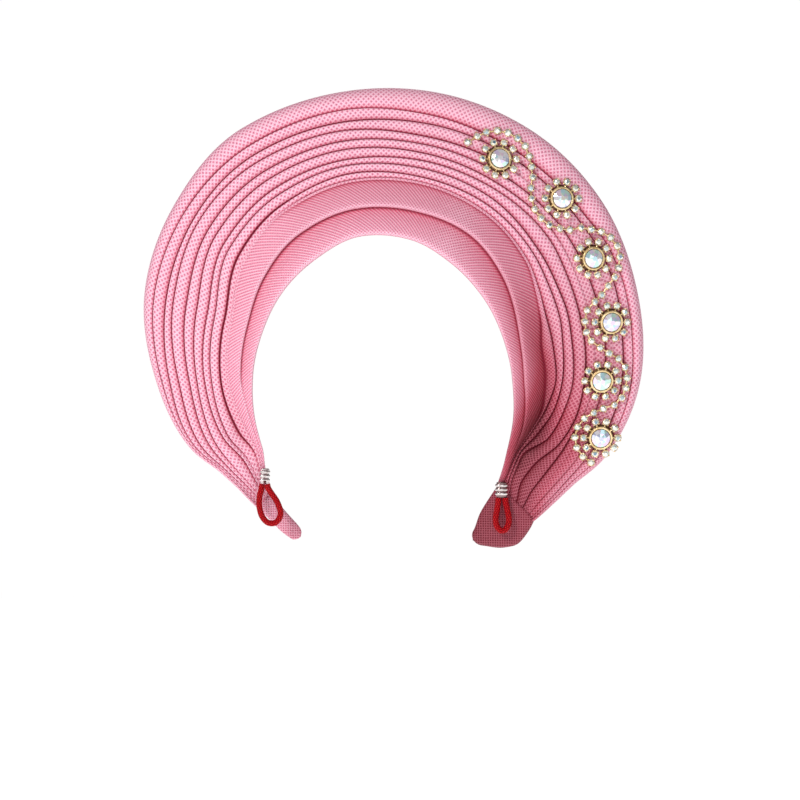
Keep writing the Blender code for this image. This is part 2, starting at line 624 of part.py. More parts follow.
def make_crimp(row, tree):
    """A ribbed clamp of bent sheet metal, with the closed ring of its top. Returns its lower end."""
    radius = fan_radius(row["angle"], 0.0) + row["inset"]
    centre = chart(row["angle"], radius, 0.0)
    profile = [(0.0, 0.5), (0.80, 0.5)]
    for rib in range(CRIMP_RIBS):
        top = 0.5 - (rib + 0.5) * CRIMP_RIB_PITCH
        profile += [(1.0, top), (1.0, top - 0.5 * CRIMP_RIB_PITCH), (0.82, top - 0.75 * CRIMP_RIB_PITCH)]
    profile += [(0.80, -0.5), (0.0, -0.5)]
    builder = bmesh.new()
    edges = []
    verts = [builder.verts.new((0.5 * across, 0.0, CRIMP_LENGTH * height)) for across, height in profile]
    for a, b in zip(verts, verts[1:]):
        edges.append(builder.edges.new((a, b)))
    bmesh.ops.spin(builder, geom=verts + edges, cent=(0, 0, 0), axis=(0, 0, 1), angle=2 * pi, steps=CRIMP_SIDES,
                   use_merge=True)
    bmesh.ops.remove_doubles(builder, verts=builder.verts, dist=0.00002)
    bmesh.ops.scale(builder, verts=builder.verts, vec=(CRIMP_WIDTH, CRIMP_DEPTH, 1.0))
    turn = Matrix.Rotation(radians(row["lean"]), 4, "Y") @ Matrix.Rotation(radians(row["turn"]), 4, "Z")
    bmesh.ops.transform(builder, matrix=turn, verts=builder.verts)
    centre.y = closest_seat(builder, tree, centre) - SEAT_GAP
    bmesh.ops.translate(builder, verts=builder.verts, vec=centre)
    add_object(f"crimp_{row['side']}", builder, silver)
    return centre + turn.to_3x3() @ Vector((0.0, 0.0, -0.5 * CRIMP_LENGTH - SEAT_GAP))


def make_cord(side, rows, top):
    """One loop of elastic cord. Both its ends enter the clamp from below."""
    points = [top + CORD_LOOP * Vector((row["sideways"], row["depth"], -row["drop"])) for row in rows]
    route = evenly(spline(points, 8), CORD_POINTS)
    curve = bpy.data.curves.new(f"elastic_loop_{side}", "CURVE")
    curve.dimensions = "3D"
    curve.bevel_depth = 0.5 * CORD_DIAMETER
    curve.bevel_resolution = 2
    curve.use_fill_caps = True
    line = curve.splines.new("POLY")
    line.points.add(len(route) - 1)
    for point, place in zip(line.points, route):
        point.co = (*place, 1.0)
    curve.materials.append(red_elastic)
    cord = bpy.data.objects.new(f"elastic_loop_{side}", curve)
    head_tie.objects.link(cord)


for leftover in list(bpy.data.objects):
    bpy.data.objects.remove(leftover, do_unlink=True)
head_tie = collection_named("gele_head_tie")
pink_cloth = material("pink woven cloth", (0.80, 0.30, 0.40), 0.62)
pink_lining = material("pink woven cloth back", (0.76, 0.28, 0.37), 0.68)
pale_gold = material("pale gold setting", (0.78, 0.60, 0.34), 0.28, 1.0)
crystal = material("rainbow crystal", (0.86, 0.84, 0.92), 0.06)
silver = material("silver clamp", (0.72, 0.71, 0.70), 0.25, 1.0)
red_elastic = material("red elastic", (0.48, 0.02, 0.03), 0.50)

cloth = make_cloth()
cloth_surface = surface_of(cloth)
make_applique(cloth_surface)
for crimp_row, cord_rows in zip(CRIMPS, (LEFT_CORD, RIGHT_CORD)):
    make_cord(crimp_row["side"], cord_rows, make_crimp(crimp_row, cloth_surface))
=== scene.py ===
import bpy
import bmesh
import json
import random
from collections import namedtuple
from math import cos, exp, pi, radians, sin
from mathutils import Matrix, Vector, noise
from mathutils.bvhtree import BVHTree

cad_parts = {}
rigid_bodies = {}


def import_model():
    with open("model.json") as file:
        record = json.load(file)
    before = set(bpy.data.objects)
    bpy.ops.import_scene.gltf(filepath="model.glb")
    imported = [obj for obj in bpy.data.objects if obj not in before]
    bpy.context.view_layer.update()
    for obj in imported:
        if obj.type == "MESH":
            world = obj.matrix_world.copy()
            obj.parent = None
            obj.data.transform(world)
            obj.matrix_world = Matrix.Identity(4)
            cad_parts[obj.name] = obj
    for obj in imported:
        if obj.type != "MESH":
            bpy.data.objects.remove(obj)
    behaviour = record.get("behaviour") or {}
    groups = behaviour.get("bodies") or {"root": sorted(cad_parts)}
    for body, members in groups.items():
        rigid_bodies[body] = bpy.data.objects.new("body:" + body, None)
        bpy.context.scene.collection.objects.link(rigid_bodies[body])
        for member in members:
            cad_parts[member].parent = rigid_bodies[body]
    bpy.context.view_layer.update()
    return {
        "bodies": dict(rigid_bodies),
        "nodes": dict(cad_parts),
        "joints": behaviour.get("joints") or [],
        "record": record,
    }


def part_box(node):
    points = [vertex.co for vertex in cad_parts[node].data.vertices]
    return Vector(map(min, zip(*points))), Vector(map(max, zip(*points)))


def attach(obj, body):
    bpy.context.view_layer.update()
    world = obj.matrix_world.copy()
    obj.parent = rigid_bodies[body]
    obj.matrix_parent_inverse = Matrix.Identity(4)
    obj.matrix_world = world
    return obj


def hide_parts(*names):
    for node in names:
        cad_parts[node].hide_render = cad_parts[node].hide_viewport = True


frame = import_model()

# Studio
# The head tie is shown as a head holds it, above a plain pale floor, in soft daylight from the upper left.
# The camera looks straight at its front through a long lens.
METRES_PER_PIXEL = 0.000692
FRAME_PIXELS = 800
CAMERA_DISTANCE = 5.0
FRAME_CENTRE = (0.0104, -0.0152)
FLOOR_HEIGHT = -0.34
FLOOR_REACH = 14.0
# The room gives a little light from all round, and the backdrop is seen brighter than it lights.
ROOM_LIGHT = 0.23
BACKDROP_LIGHT = 0.79

camera_data = bpy.data.cameras.new("front_camera")
camera_data.sensor_width = 36.0
half_frame = 0.5 * FRAME_PIXELS * METRES_PER_PIXEL
camera_data.lens = 0.5 * camera_data.sensor_width * CAMERA_DISTANCE / half_frame
camera = bpy.data.objects.new("front_camera", camera_data)
camera.location = (FRAME_CENTRE[0], -CAMERA_DISTANCE, FRAME_CENTRE[1])
camera.rotation_euler = (0.5 * pi, 0.0, 0.0)
bpy.context.scene.collection.objects.link(camera)
bpy.context.scene.camera = camera
bpy.context.scene.view_settings.view_transform = "Standard"
bpy.context.scene.view_settings.look = "None"


class Strand:
    """A socket of a material or world. Sums of strands become Math nodes."""

    def __init__(self, tree, socket=None):
        self.tree = tree
        self.socket = socket

    def add(self, kind, settings=(), inputs=(), output=0):
        """Any node: its settings first, then the values or links of its sockets."""
        node = self.tree.nodes.new(kind)
        for name, value in dict(settings).items():
            if name == "stops":
                ramp = node.color_ramp.elements
                while len(ramp) < len(value):
                    ramp.new(1.0)
                for stop, (place, colour) in zip(ramp, value):
                    stop.position = place
                    stop.color = (*colour, 1.0)
            else:
                setattr(node, name, value)
        for name, value in dict(inputs).items():
            if isinstance(value, Strand):
                self.tree.links.new(value.socket, node.inputs[name])
            else:
                node.inputs[name].default_value = value
        return Strand(self.tree, node.outputs[output])

    def math(self, operation, *values):
        return self.add("ShaderNodeMath", {"operation": operation}, dict(enumerate(values)))

    def mix(self, factor, low, high, blend="MIX"):
        settings = {"data_type": "RGBA", "blend_type": blend}
        return self.add("ShaderNodeMix", settings, {0: factor, 6: low, 7: high}, output=2)

    def ramp(self, stops):
        """A colour from a ramp of places and colours."""
        return self.add("ShaderNodeValToRGB", {"stops": stops}, {"Fac": self})

    def ease(self, start, end):
        """A smooth step from 0 to 1 between two values, or back down where the first is the larger."""
        settings = {"interpolation_type": "SMOOTHSTEP"}
        return self.add("ShaderNodeMapRange", settings, {0: self, 1: start, 2: end, 3: 0.0, 4: 1.0})

    def __add__(self, other):
        return self.math("ADD", self, other)

    def __sub__(self, other):
        return self.math("SUBTRACT", self, other)

    def __rsub__(self, other):
        return self.math("SUBTRACT", other, self)

    def __mul__(self, other):
        return self.math("MULTIPLY", self, other)

    __radd__ = __add__
    __rmul__ = __mul__


def new_material(name):
    """An empty material: its start for strands, and its shader's sockets."""
    material = bpy.data.materials.new(name)
    material.use_nodes = True
    return material, Strand(material.node_tree), material.node_tree.nodes["Principled BSDF"].inputs


def feed(strand, socket):
    """Link a strand to a socket of the shader."""
    strand.tree.links.new(strand.socket, socket)


world = bpy.data.worlds.new("studio")
world.use_nodes = True
bpy.context.scene.world = world
world_start = Strand(world.node_tree)
seen = world_start.add("ShaderNodeLightPath")
backdrop = world.node_tree.nodes["Background"].inputs
backdrop["Color"].default_value = (1.0, 0.985, 0.985, 1.0)
feed(ROOM_LIGHT + seen * BACKDROP_LIGHT, backdrop["Strength"])


def soft_light(name, place, aim, size, power, colour):
    """A square soft light that points at a place."""
    light = bpy.data.lights.new(name, "AREA")
    light.size = size
    light.energy = power
    light.color = colour
    lamp = bpy.data.objects.new(name, light)
    lamp.location = place
    lamp.rotation_euler = (Vector(aim) - Vector(place)).to_track_quat("-Z", "Y").to_euler()
    bpy.context.scene.collection.objects.link(lamp)


soft_light("key", (-0.9, -1.7, 1.0), (0.0, 0.0, 0.05), 0.5, 23.0, (1.0, 0.98, 0.97))
soft_light("fill", (0.5, -2.4, 0.5), (0.0, 0.0, 0.0), 1.2, 6.0, (1.0, 0.98, 1.0))
soft_light("back", (0.4, 1.6, 1.2), (0.0, 0.0, 0.0), 1.2, 6.0, (1.0, 0.98, 0.98))

floor_build = bmesh.new()
bmesh.ops.create_grid(floor_build, x_segments=1, y_segments=1, size=0.5 * FLOOR_REACH)
bmesh.ops.translate(floor_build, verts=floor_build.verts, vec=(0.0, 0.0, FLOOR_HEIGHT))
floor_mesh = bpy.data.meshes.new("studio_floor")
floor_build.to_mesh(floor_mesh)
floor_build.free()
studio_floor = bpy.data.objects.new("studio_floor", floor_mesh)
bpy.context.scene.collection.objects.link(studio_floor)
floor_material, _, floor_sockets = new_material("pale floor")
floor_sockets["Base Color"].default_value = (0.93, 0.92, 0.92, 1.0)
floor_sockets["Roughness"].default_value = 0.8
floor_sockets["Emission Color"].default_value = (1.0, 0.99, 0.99, 1.0)
floor_sockets["Emission Strength"].default_value = 0.80
floor_mesh.materials.append(floor_material)

# Elastic loops
# Each end of the nape has a short loop of braided deep red elastic, which is stretched behind the wearer's
# neck. Its two ends are pressed in the clamp above it, so it is made first and the clamp closes over it.
CRIMP_LENGTH = 0.0108
CORD_LOOP = 0.0300
CORD_DIAMETER = 0.0042
CORD_GAP = 0.0003
CORD_STEPS = 220
CORD_SIDES = 24
CORD_SPAN_STEPS = 24
BRAID_STRANDS = 7.0
BRAID_CROSSINGS = 330.0
MERGE_DISTANCE = 0.00001
CORD_COLUMNS = ("sideways", "drop", "depth")


def table(columns, rows):
    """A table whose rows are read by the names of its columns."""
    return [dict(zip(columns, row)) for row in rows]


LEFT_CORD = table(CORD_COLUMNS, (
    (-0.050, 0.000, 0.050), (-0.065, 0.100, 0.045), (-0.110, 0.300, 0.020), (-0.115, 0.520, 0.010),
    (-0.050, 0.750, 0.000), (0.080, 0.890, -0.010), (0.240, 0.900, -0.020), (0.350, 0.790, -0.030),
    (0.370, 0.620, -0.040), (0.290, 0.400, -0.055), (0.170, 0.220, -0.085), (0.090, 0.090, -0.115),
    (0.070, 0.000, -0.120)))
RIGHT_CORD = table(CORD_COLUMNS, (
    (-0.078, 0.000, 0.000), (-0.082, 0.100, 0.000), (-0.110, 0.280, -0.005), (-0.140, 0.480, -0.010),
    (-0.120, 0.640, -0.010), (-0.040, 0.745, -0.010), (0.060, 0.750, -0.010), (0.140, 0.650, -0.010),
    (0.165, 0.480, -0.010), (0.130, 0.280, -0.005), (0.088, 0.100, 0.000), (0.084, 0.000, 0.000)))
CRIMP_COLUMNS = ("side", "turn", "lean", "tarnish")
CRIMPS = table(CRIMP_COLUMNS, (("left", 52.0, 3.0, 0.25), ("right", 8.0, 0.0, 0.80)))


def spline(points, per_span):
    """A smooth curve through a list of points, as many more points."""
    ends = [2 * points[0] - points[1]] + points + [2 * points[-1] - points[-2]]
    curve = []
    for a, b, c, d in zip(ends, ends[1:], ends[2:], ends[3:]):
        for i in range(per_span):
            t = i / per_span
            curve.append(0.5 * (2 * b + (c - a) * t + (2 * a - 5 * b + 4 * c - d) * t ** 2
                                + (3 * b - a - 3 * c + d) * t ** 3))
    return curve + [points[-1]]


def distances(points):
    """How far along a run of points each of them lies."""
    reach = [0.0]
    for a, b in zip(points, points[1:]):
        reach.append(reach[-1] + (b - a).length)
    return reach


def evenly(curve, count):
    """As many points at equal distances along a curve of straight pieces."""
    lengths = distances(curve)
    spread = []
    place = 0
    for i in range(count):
        target = lengths[-1] * i / (count - 1)
        while place < len(curve) - 2 and lengths[place + 1] < target:
            place += 1
        share = (target - lengths[place]) / (lengths[place + 1] - lengths[place])
        spread.append(curve[place].lerp(curve[place + 1], share))
    return spread


def finish_piece(name, build, materials, smooth=True):
    """Turn a finished bmesh into a piece that rides with the head tie."""
    mesh = bpy.data.meshes.new(name)
    build.to_mesh(mesh)
    build.free()
    if smooth:
        mesh.shade_smooth()
    for material in materials:
        mesh.materials.append(material)
    piece = bpy.data.objects.new(name, mesh)
    bpy.context.scene.collection.objects.link(piece)
    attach(piece, "root")
    return piece


def grid_of(columns, rows, place_of, uv_of):
    """A grid of columns x rows cells: place_of and uv_of give each corner from its two shares."""
    build = bmesh.new()
    uv = build.loops.layers.uv.new("weave")
    bmesh.ops.create_grid(build, x_segments=columns, y_segments=rows, size=0.5)
    shares = {vertex: (vertex.co.x + 0.5, vertex.co.y + 0.5) for vertex in build.verts}
    for face in build.faces:
        for loop in face.loops:
            loop[uv].uv = uv_of(*shares[loop.vert])
    for vertex, share in shares.items():
        vertex.co = place_of(*share)
    return build


def weave_place(start):
    """The two values of a piece's own weave: round and along a cord, or along and across a cloth."""
    first = start.add("ShaderNodeSeparateXYZ", {}, {0: start.add("ShaderNodeUVMap", {"uv_map": "weave"})})
    return first, Strand(first.tree, first.socket.node.outputs[1])


braid, start, shader = new_material("braided elastic")
around, along = weave_place(start)
strand_a = start.math("PINGPONG", around * BRAID_STRANDS + along * BRAID_CROSSINGS, 0.5)
strand_b = start.math("PINGPONG", around * BRAID_STRANDS - along * BRAID_CROSSINGS, 0.5)
braided = strand_a.math("MINIMUM", strand_a, strand_b) * 2.0
# Partly the braid's pattern and partly painted light: the strands are painted lighter on their middles up to
# a painted highlight, and darker as painted shade where they dip under one another.
braid_shade_and_glint = ((0.0, (0.12, 0.0, 0.002)), (0.40, (0.42, 0.002, 0.006)), (0.75, (0.58, 0.006, 0.012)),
        (1.0, (0.74, 0.06, 0.06)))
feed(braided.ramp(braid_shade_and_glint), shader["Base Color"])
shader["Roughness"].default_value = 0.45
shader["Specular IOR Level"].default_value = 0.08
relief = start.add("ShaderNodeBump", {}, {"Height": braided, "Distance": 0.0004, "Strength": 1.0})
feed(relief, shader["Normal"])


def crimp_frame(row):
    """Where a clamp sits: its turned and leaning frame, at the middle of its length."""
    low, high = (Vector(corner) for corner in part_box(f"crimp_{row['side']}"))
    turned = Matrix.Rotation(radians(row["lean"]), 4, "Y") @ Matrix.Rotation(radians(row["turn"]), 4, "Z")
    return Matrix.Translation(0.5 * (low + high)) @ turned


def make_cord(row, points):
    """A loop of elastic as a tube swept along its route, with both ends in the clamp."""
    top = crimp_frame(row) @ Vector((0.0, 0.0, -0.5 * CRIMP_LENGTH - CORD_GAP))
    corners = [top + CORD_LOOP * Vector((at["sideways"], at["depth"], -at["drop"])) for at in points]
    route = evenly(spline(corners, CORD_SPAN_STEPS), CORD_STEPS + 1)
    length = distances(route)[-1]
    frames = []
    side = Vector((0.0, 1.0, 0.0))
    for i, point in enumerate(route):
        ahead = (route[min(i + 1, CORD_STEPS)] - route[max(i - 1, 0)]).normalized()
        side = (side - ahead * side.dot(ahead)).normalized()
        frames.append((point, side, ahead.cross(side)))

    def place(around, along):
        point, across, up = frames[round(along * CORD_STEPS)]
        swing = 2 * pi * around
        return point + 0.5 * CORD_DIAMETER * (across * cos(swing) + up * sin(swing))

    build = grid_of(CORD_SIDES, CORD_STEPS, place, lambda around, along: (around, along * length))
    bmesh.ops.remove_doubles(build, verts=build.verts, dist=MERGE_DISTANCE)
    bmesh.ops.holes_fill(build, edges=build.edges, sides=CORD_SIDES)
    bmesh.ops.recalc_face_normals(build, faces=build.faces)
    cord = finish_piece(f"elastic_{row['side']}", build, [braid])
    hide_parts(f"elastic_loop_{row['side']}")


for crimp, points in zip(CRIMPS, (LEFT_CORD, RIGHT_CORD)):
    make_cord(crimp, points)

# Clamps
# A clamp is a small tube of bright silvery metal, spun round its axis with three ribs and closed by a domed
# ring at the top. It is pressed on the two ends of the elastic and hangs against the cloth.
CRIMP_WIDTH = 0.0093
CRIMP_DEPTH = 0.0056
CRIMP_STEPS = 48
RIB_EDGE = 0.95
GROOVE_SPAN = 0.12
CRIMP_PROFILE = ((0.00, 0.50), (0.40, 0.50), (0.62, 0.49), (0.76, 0.465), (0.82, 0.43), (0.82, 0.40),
                 (0.78, 0.375), (0.80, 0.36), (0.95, 0.345), (1.00, 0.31), (1.00, 0.24), (0.95, 0.205),
                 (0.82, 0.185), (0.80, 0.14), (0.82, 0.095), (0.95, 0.075), (1.00, 0.04), (1.00, -0.03),
                 (0.95, -0.065), (0.82, -0.085), (0.80, -0.13), (0.82, -0.175), (0.95, -0.195), (1.00, -0.23),
                 (1.00, -0.30), (0.95, -0.335), (0.84, -0.36), (0.80, -0.42), (0.80, -0.50), (0.62, -0.50),
                 (0.62, -0.40), (0.00, -0.40))


def held(value, low=0.0):
    """A value held between a lowest one and 1."""
    return min(1.0, max(low, value))


def uneven(start, scale, detail):
    """Noise over a piece, in its object's own coordinates."""
    place = start.add("ShaderNodeTexCoord", output=3)
    return start.add("ShaderNodeTexNoise", {}, {"Vector": place, "Scale": scale, "Detail": detail})


silver, start, shader = new_material("silver clamp")
worn = uneven(start, 420.0, 4.0)
silvers = ((0.35, (0.56, 0.50, 0.48)), (0.60, (0.80, 0.75, 0.74)))
polished = worn.ramp(silvers)
# Painted shade: the grooves between the ribs are painted a dark red-brown.
groove = start.add("ShaderNodeAttribute", {"attribute_name": "groove"}, output=2)
feed(start.mix(groove, polished, (0.10, 0.03, 0.03, 1.0)), shader["Base Color"])
feed(worn * 0.12 + 0.16, shader["Roughness"])
shader["Metallic"].default_value = 1.0

# The grooves between the ribs take a painted shade, which their vertices carry.
for crimp in CRIMPS:
    build = bmesh.new()
    groove_layer = build.verts.layers.float.new("groove")
    line = [build.verts.new((0.5 * across, 0.0, CRIMP_LENGTH * height)) for across, height in CRIMP_PROFILE]
    for vertex, (across, _) in zip(line, CRIMP_PROFILE):
        vertex[groove_layer] = crimp["tarnish"] * held((RIB_EDGE - across) / GROOVE_SPAN)
    edges = [build.edges.new(pair) for pair in zip(line, line[1:])]
    bmesh.ops.spin(build, geom=line + edges, cent=(0, 0, 0), axis=(0, 0, 1), angle=2 * pi,
                   steps=CRIMP_STEPS, use_merge=True)
    bmesh.ops.remove_doubles(build, verts=build.verts, dist=MERGE_DISTANCE)
    bmesh.ops.scale(build, verts=build.verts, vec=(CRIMP_WIDTH, CRIMP_DEPTH, 1.0))
    bmesh.ops.transform(build, matrix=crimp_frame(crimp), verts=build.verts)
    bmesh.ops.recalc_face_normals(build, faces=build.faces)
    clamp = finish_piece(f"clamp_{crimp['side']}", build, [silver])
    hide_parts(f"crimp_{crimp['side']}")

# Pleated front
# The front of the head tie is one length of stiffened pink cloth, woven with a pale shiny trellis. It is laid
# in two wide bands over the brow and eight knife pleats, pressed, and rolled over at the rim. The folds are
# laid by hand, so their lines wander a little, and they gather towards both ends.
HEM_RADIUS = 0.0969
RIM_RADIUS = 0.2000
TILT_DEPTH = 0.100
LEAN_DEPTH = 0.030
LEAN_CURVE = 1.25
HOOD_DEPTH = 0.074
CLOTH = 0.0020
PLEAT_RISE = 0.0032
BAND_RISE = 0.0042
ROLL_DEPTH = 0.019
ROLL_CENTRE = 0.25
TURNED_EDGE = 0.0070
ROLL_TURNS = (116, 108, 100, 90, 80, 70, 59, 48, 37, 26, 14, 2, -12, -26, -42, -58, -74, -90)
ROLL_SHADE_TURNS = (88, 118)
INNER_TURNS = (-90, -60, -30, 0, 30, 60, 90)
INNER_PARTS = (0.97, 0.84, 0.72, 0.59, 0.46, 0.34, 0.22, 0.11, 0.0)
BACK_HEM_INSET = 0.010
SEAT_GAP = 0.0003
LEFT_TIP = -136.0
RIGHT_TIP = 134.0
FRONT_STATIONS = 340
WANDER = 0.0035
WANDER_RATE = 0.055
WANDER_SEEDS = (7.3, 1.7)
RISE_CHANGE = 0.16
CLOTH_MERGE = 0.000002
# The painted light on a band: how light it is painted, how it fades across, more so where a crease ends
# it, the painted shade at its foot in that crease, and the narrow part of its raised edge that gets a painted
# highlight.
BAND_CREST = 0.92
BAND_FADE = 0.2
BAND_CREASE_FADE = 0.3
BAND_FOOT = 0.9
BAND_FOOT_SHADE = 0.6
LIT_CREST = 1.25
LIT_PARTS = (0.02, 0.10)
# The tuck beside the bands: its height on a pleat and on a band, and how it falls. Then the painted shade of
# the first pleat where it joins the band, and of the deep crease that the bands end in.
TUCK_ON_PLEAT = 0.95
TUCK_ON_BAND = 0.08
TUCK_FALL = 0.8
JOINED_SHADE = 0.38
DEEP_SHADE = 1.1
DEEP_PART = 0.42
# The weave: the size of a cell of the trellis, how much finer it looks on the bands, and how much finer it
# gets between two angles as the right end gathers. Each fold's weave is shifted from the one before it.
CELL_ALONG = 0.0036
CELL_ACROSS = 0.0037
BAND_WEAVE = 1.4
END_GATHER = 0.35
GATHER_ANGLES = (95.0, 120.0)
WEAVE_SHIFT = (0.00137, 0.00071)
YARN = 2300.0
UNEVEN_THREAD = 0.16
THREAD_EDGE = (0.27, 0.08)
HOLE_EDGE = (0.32, 0.46)
# Between which values of crest the cloth goes from its painted crease shade, low, to ground, and where a
# crease takes its darkest painted shade and how dark.
FOLD_LIGHT_CREST = (0.12, 0.95)
CREASE_SHADE_CREST = (0.38, 0.10)
CREASE_SHADE_COLOUR = (0.19, 0.0, 0.018)
CREASE_SHADE_STRENGTH = 0.88
# A painted highlight on a band's raised edge: the crest it starts at, and its strength.
LIT_START = 1.02
LIT_STRENGTH = 0.28
# The bands show the twill lines of the weave, which change direction round one angle right of the crown.
TWILL = 0.55
TWILL_START = 0.08
TWILL_BLEND = 0.2
TWILL_TURN = 25.0
TWILL_TURN_SPAN = 15.0

# One section of the fan for each angle from the crown, in degrees. Its values are shares of the sizes above.
SECTION_COLUMNS = ("angle", "hem", "rim", "lean", "hood", "roll", "rise")
SECTIONS = table(SECTION_COLUMNS, (
    (-136, 1.154, 0.635, 0.06, 0.13, 0.62, 0.20),
    (-128, 1.085, 0.640, 0.12, 0.16, 0.64, 0.55),
    (-120, 1.014, 0.661, 0.22, 0.24, 0.68, 0.85),
    (-110, 0.982, 0.720, 0.36, 0.38, 0.76, 1.00),
    (-90, 0.943, 0.799, 0.62, 0.60, 0.90, 1.00),
    (-70, 0.929, 0.886, 0.80, 0.78, 0.96, 1.00),
    (-50, 0.946, 0.945, 0.92, 0.90, 1.00, 1.00),
    (-30, 0.971, 0.993, 1.00, 0.97, 1.00, 1.00),
    (-10, 1.014, 0.997, 1.00, 1.00, 1.00, 1.00),
    (10, 0.993, 1.000, 1.00, 1.00, 1.00, 1.00),
    (30, 0.936, 0.993, 1.00, 0.97, 1.00, 1.00),
    (50, 0.900, 0.969, 0.92, 0.90, 1.00, 1.00),
    (70, 0.886, 0.927, 0.80, 0.78, 0.96, 1.00),
    (90, 0.907, 0.889, 0.62, 0.60, 0.90, 1.00),
    (110, 0.971, 0.813, 0.36, 0.38, 0.76, 1.00),
    (120, 1.014, 0.753, 0.22, 0.26, 0.70, 0.90),
    (128, 1.068, 0.730, 0.12, 0.18, 0.66, 0.70),
    (134, 1.114, 0.720, 0.08, 0.15, 0.64, 0.40)))
# Where each fold starts, as a share of the way from hem to rim.
FOLD_COLUMNS = ("angle", "upper_band", "side_tuck", "pleat_9", "pleat_8", "pleat_7", "pleat_6",
                "pleat_5", "pleat_4", "pleat_3", "pleat_2", "rim_roll")
FOLDS = table(FOLD_COLUMNS, (
    (-136, 0.06, 0.11, 0.12, 0.20, 0.30, 0.40, 0.52, 0.64, 0.76, 0.84, 0.92),
    (-120, 0.06, 0.11, 0.12, 0.18, 0.37, 0.45, 0.70, 0.79, 0.87, 0.91, 0.95),
    (-110, 0.06, 0.15, 0.16, 0.26, 0.43, 0.50, 0.64, 0.73, 0.84, 0.92, 0.96),
    (-90, 0.12, 0.25, 0.26, 0.32, 0.42, 0.49, 0.57, 0.65, 0.76, 0.85, 0.94),
    (-70, 0.13, 0.26, 0.27, 0.31, 0.40, 0.46, 0.55, 0.64, 0.75, 0.81, 0.92),
    (-50, 0.17, 0.35, 0.36, 0.40, 0.49, 0.54, 0.62, 0.69, 0.78, 0.82, 0.91),
    (-30, 0.20, 0.38, 0.39, 0.42, 0.49, 0.54, 0.61, 0.67, 0.75, 0.80, 0.88),
    (-10, 0.19, 0.38, 0.39, 0.43, 0.49, 0.53, 0.60, 0.66, 0.73, 0.79, 0.88),
    (10, 0.19, 0.38, 0.39, 0.42, 0.48, 0.53, 0.58, 0.64, 0.69, 0.78, 0.85),
    (30, 0.22, 0.39, 0.40, 0.44, 0.49, 0.55, 0.59, 0.65, 0.71, 0.78, 0.84),
    (50, 0.18, 0.37, 0.38, 0.43, 0.47, 0.57, 0.62, 0.68, 0.74, 0.80, 0.86),
    (60, 0.15, 0.33, 0.35, 0.42, 0.47, 0.56, 0.62, 0.69, 0.76, 0.83, 0.90),
    (70, 0.12, 0.29, 0.33, 0.42, 0.48, 0.56, 0.63, 0.70, 0.77, 0.85, 0.92),
    (80, 0.10, 0.25, 0.33, 0.40, 0.47, 0.56, 0.63, 0.71, 0.77, 0.84, 0.92),
    (90, 0.09, 0.26, 0.34, 0.39, 0.47, 0.56, 0.64, 0.71, 0.78, 0.85, 0.93),
    (100, 0.10, 0.26, 0.29, 0.36, 0.44, 0.56, 0.62, 0.70, 0.77, 0.86, 0.94),
    (110, 0.11, 0.20, 0.21, 0.27, 0.39, 0.52, 0.58, 0.67, 0.76, 0.84, 0.94),
    (120, 0.10, 0.13, 0.14, 0.17, 0.21, 0.41, 0.60, 0.70, 0.80, 0.89, 0.95),
    (127, 0.08, 0.11, 0.12, 0.16, 0.21, 0.37, 0.59, 0.69, 0.80, 0.90, 0.95),
    (134, 0.06, 0.11, 0.12, 0.20, 0.30, 0.50, 0.66, 0.74, 0.83, 0.90, 0.95)))
FOLD_NAMES = FOLD_COLUMNS[1:]
# How sharp the crease at each fold's start is: 1 is a deep crease and 0 is pressed flat.
CREASES = table(FOLD_COLUMNS, (
    (-136, 0.3, 0.0, 0.3, 0.4, 0.5, 0.6, 0.6, 0.6, 0.6, 0.4, 0.3),
    (-125, 0.2, 0.0, 0.2, 0.4, 0.5, 1.0, 0.7, 1.0, 0.8, 0.4, 0.3),
    (-112, 0.1, 0.0, 0.1, 0.9, 1.0, 1.0, 1.0, 1.0, 1.0, 0.8, 0.3),
    (-98, 0.2, 0.0, 0.1, 1.0, 1.0, 1.0, 1.0, 1.0, 1.0, 1.0, 0.7),
    (-84, 0.9, 0.0, 0.1, 1.0, 1.0, 1.0, 1.0, 1.0, 1.0, 1.0, 1.0),
    (-40, 1.0, 0.0, 0.1, 1.0, 1.0, 1.0, 1.0, 1.0, 1.0, 1.0, 1.0),
    (-22, 1.0, 0.0, 1.0, 1.0, 1.0, 1.0, 1.0, 1.0, 1.0, 1.0, 1.0),
    (25, 1.0, 0.0, 1.0, 1.0, 1.0, 1.0, 1.0, 1.0, 1.0, 1.0, 1.0),
    (38, 1.0, 0.0, 1.0, 1.0, 1.0, 1.0, 1.0, 1.0, 0.3, 1.0, 1.0),
    (50, 1.0, 0.0, 1.0, 1.0, 1.0, 1.0, 0.8, 1.0, 0.1, 1.0, 1.0),
    (62, 1.0, 0.3, 1.0, 1.0, 1.0, 1.0, 0.2, 1.0, 0.1, 1.0, 1.0),
    (72, 1.0, 1.0, 1.0, 1.0, 1.0, 1.0, 0.1, 1.0, 0.1, 1.0, 1.0),
    (100, 0.9, 1.0, 1.0, 1.0, 0.9, 1.0, 0.2, 0.8, 0.2, 1.0, 0.7),
    (108, 0.7, 0.5, 1.0, 1.0, 1.0, 1.0, 1.0, 0.4, 0.4, 0.8, 0.4),
    (118, 0.4, 0.1, 1.0, 1.0, 1.0, 1.0, 1.0, 0.2, 0.5, 0.6, 0.3),
    (127, 0.2, 0.0, 0.8, 0.8, 0.8, 1.0, 1.0, 0.2, 0.6, 0.5, 0.2),
    (134, 0.1, 0.0, 0.5, 0.7, 0.6, 1.0, 1.0, 0.3, 0.5, 0.4, 0.2)))
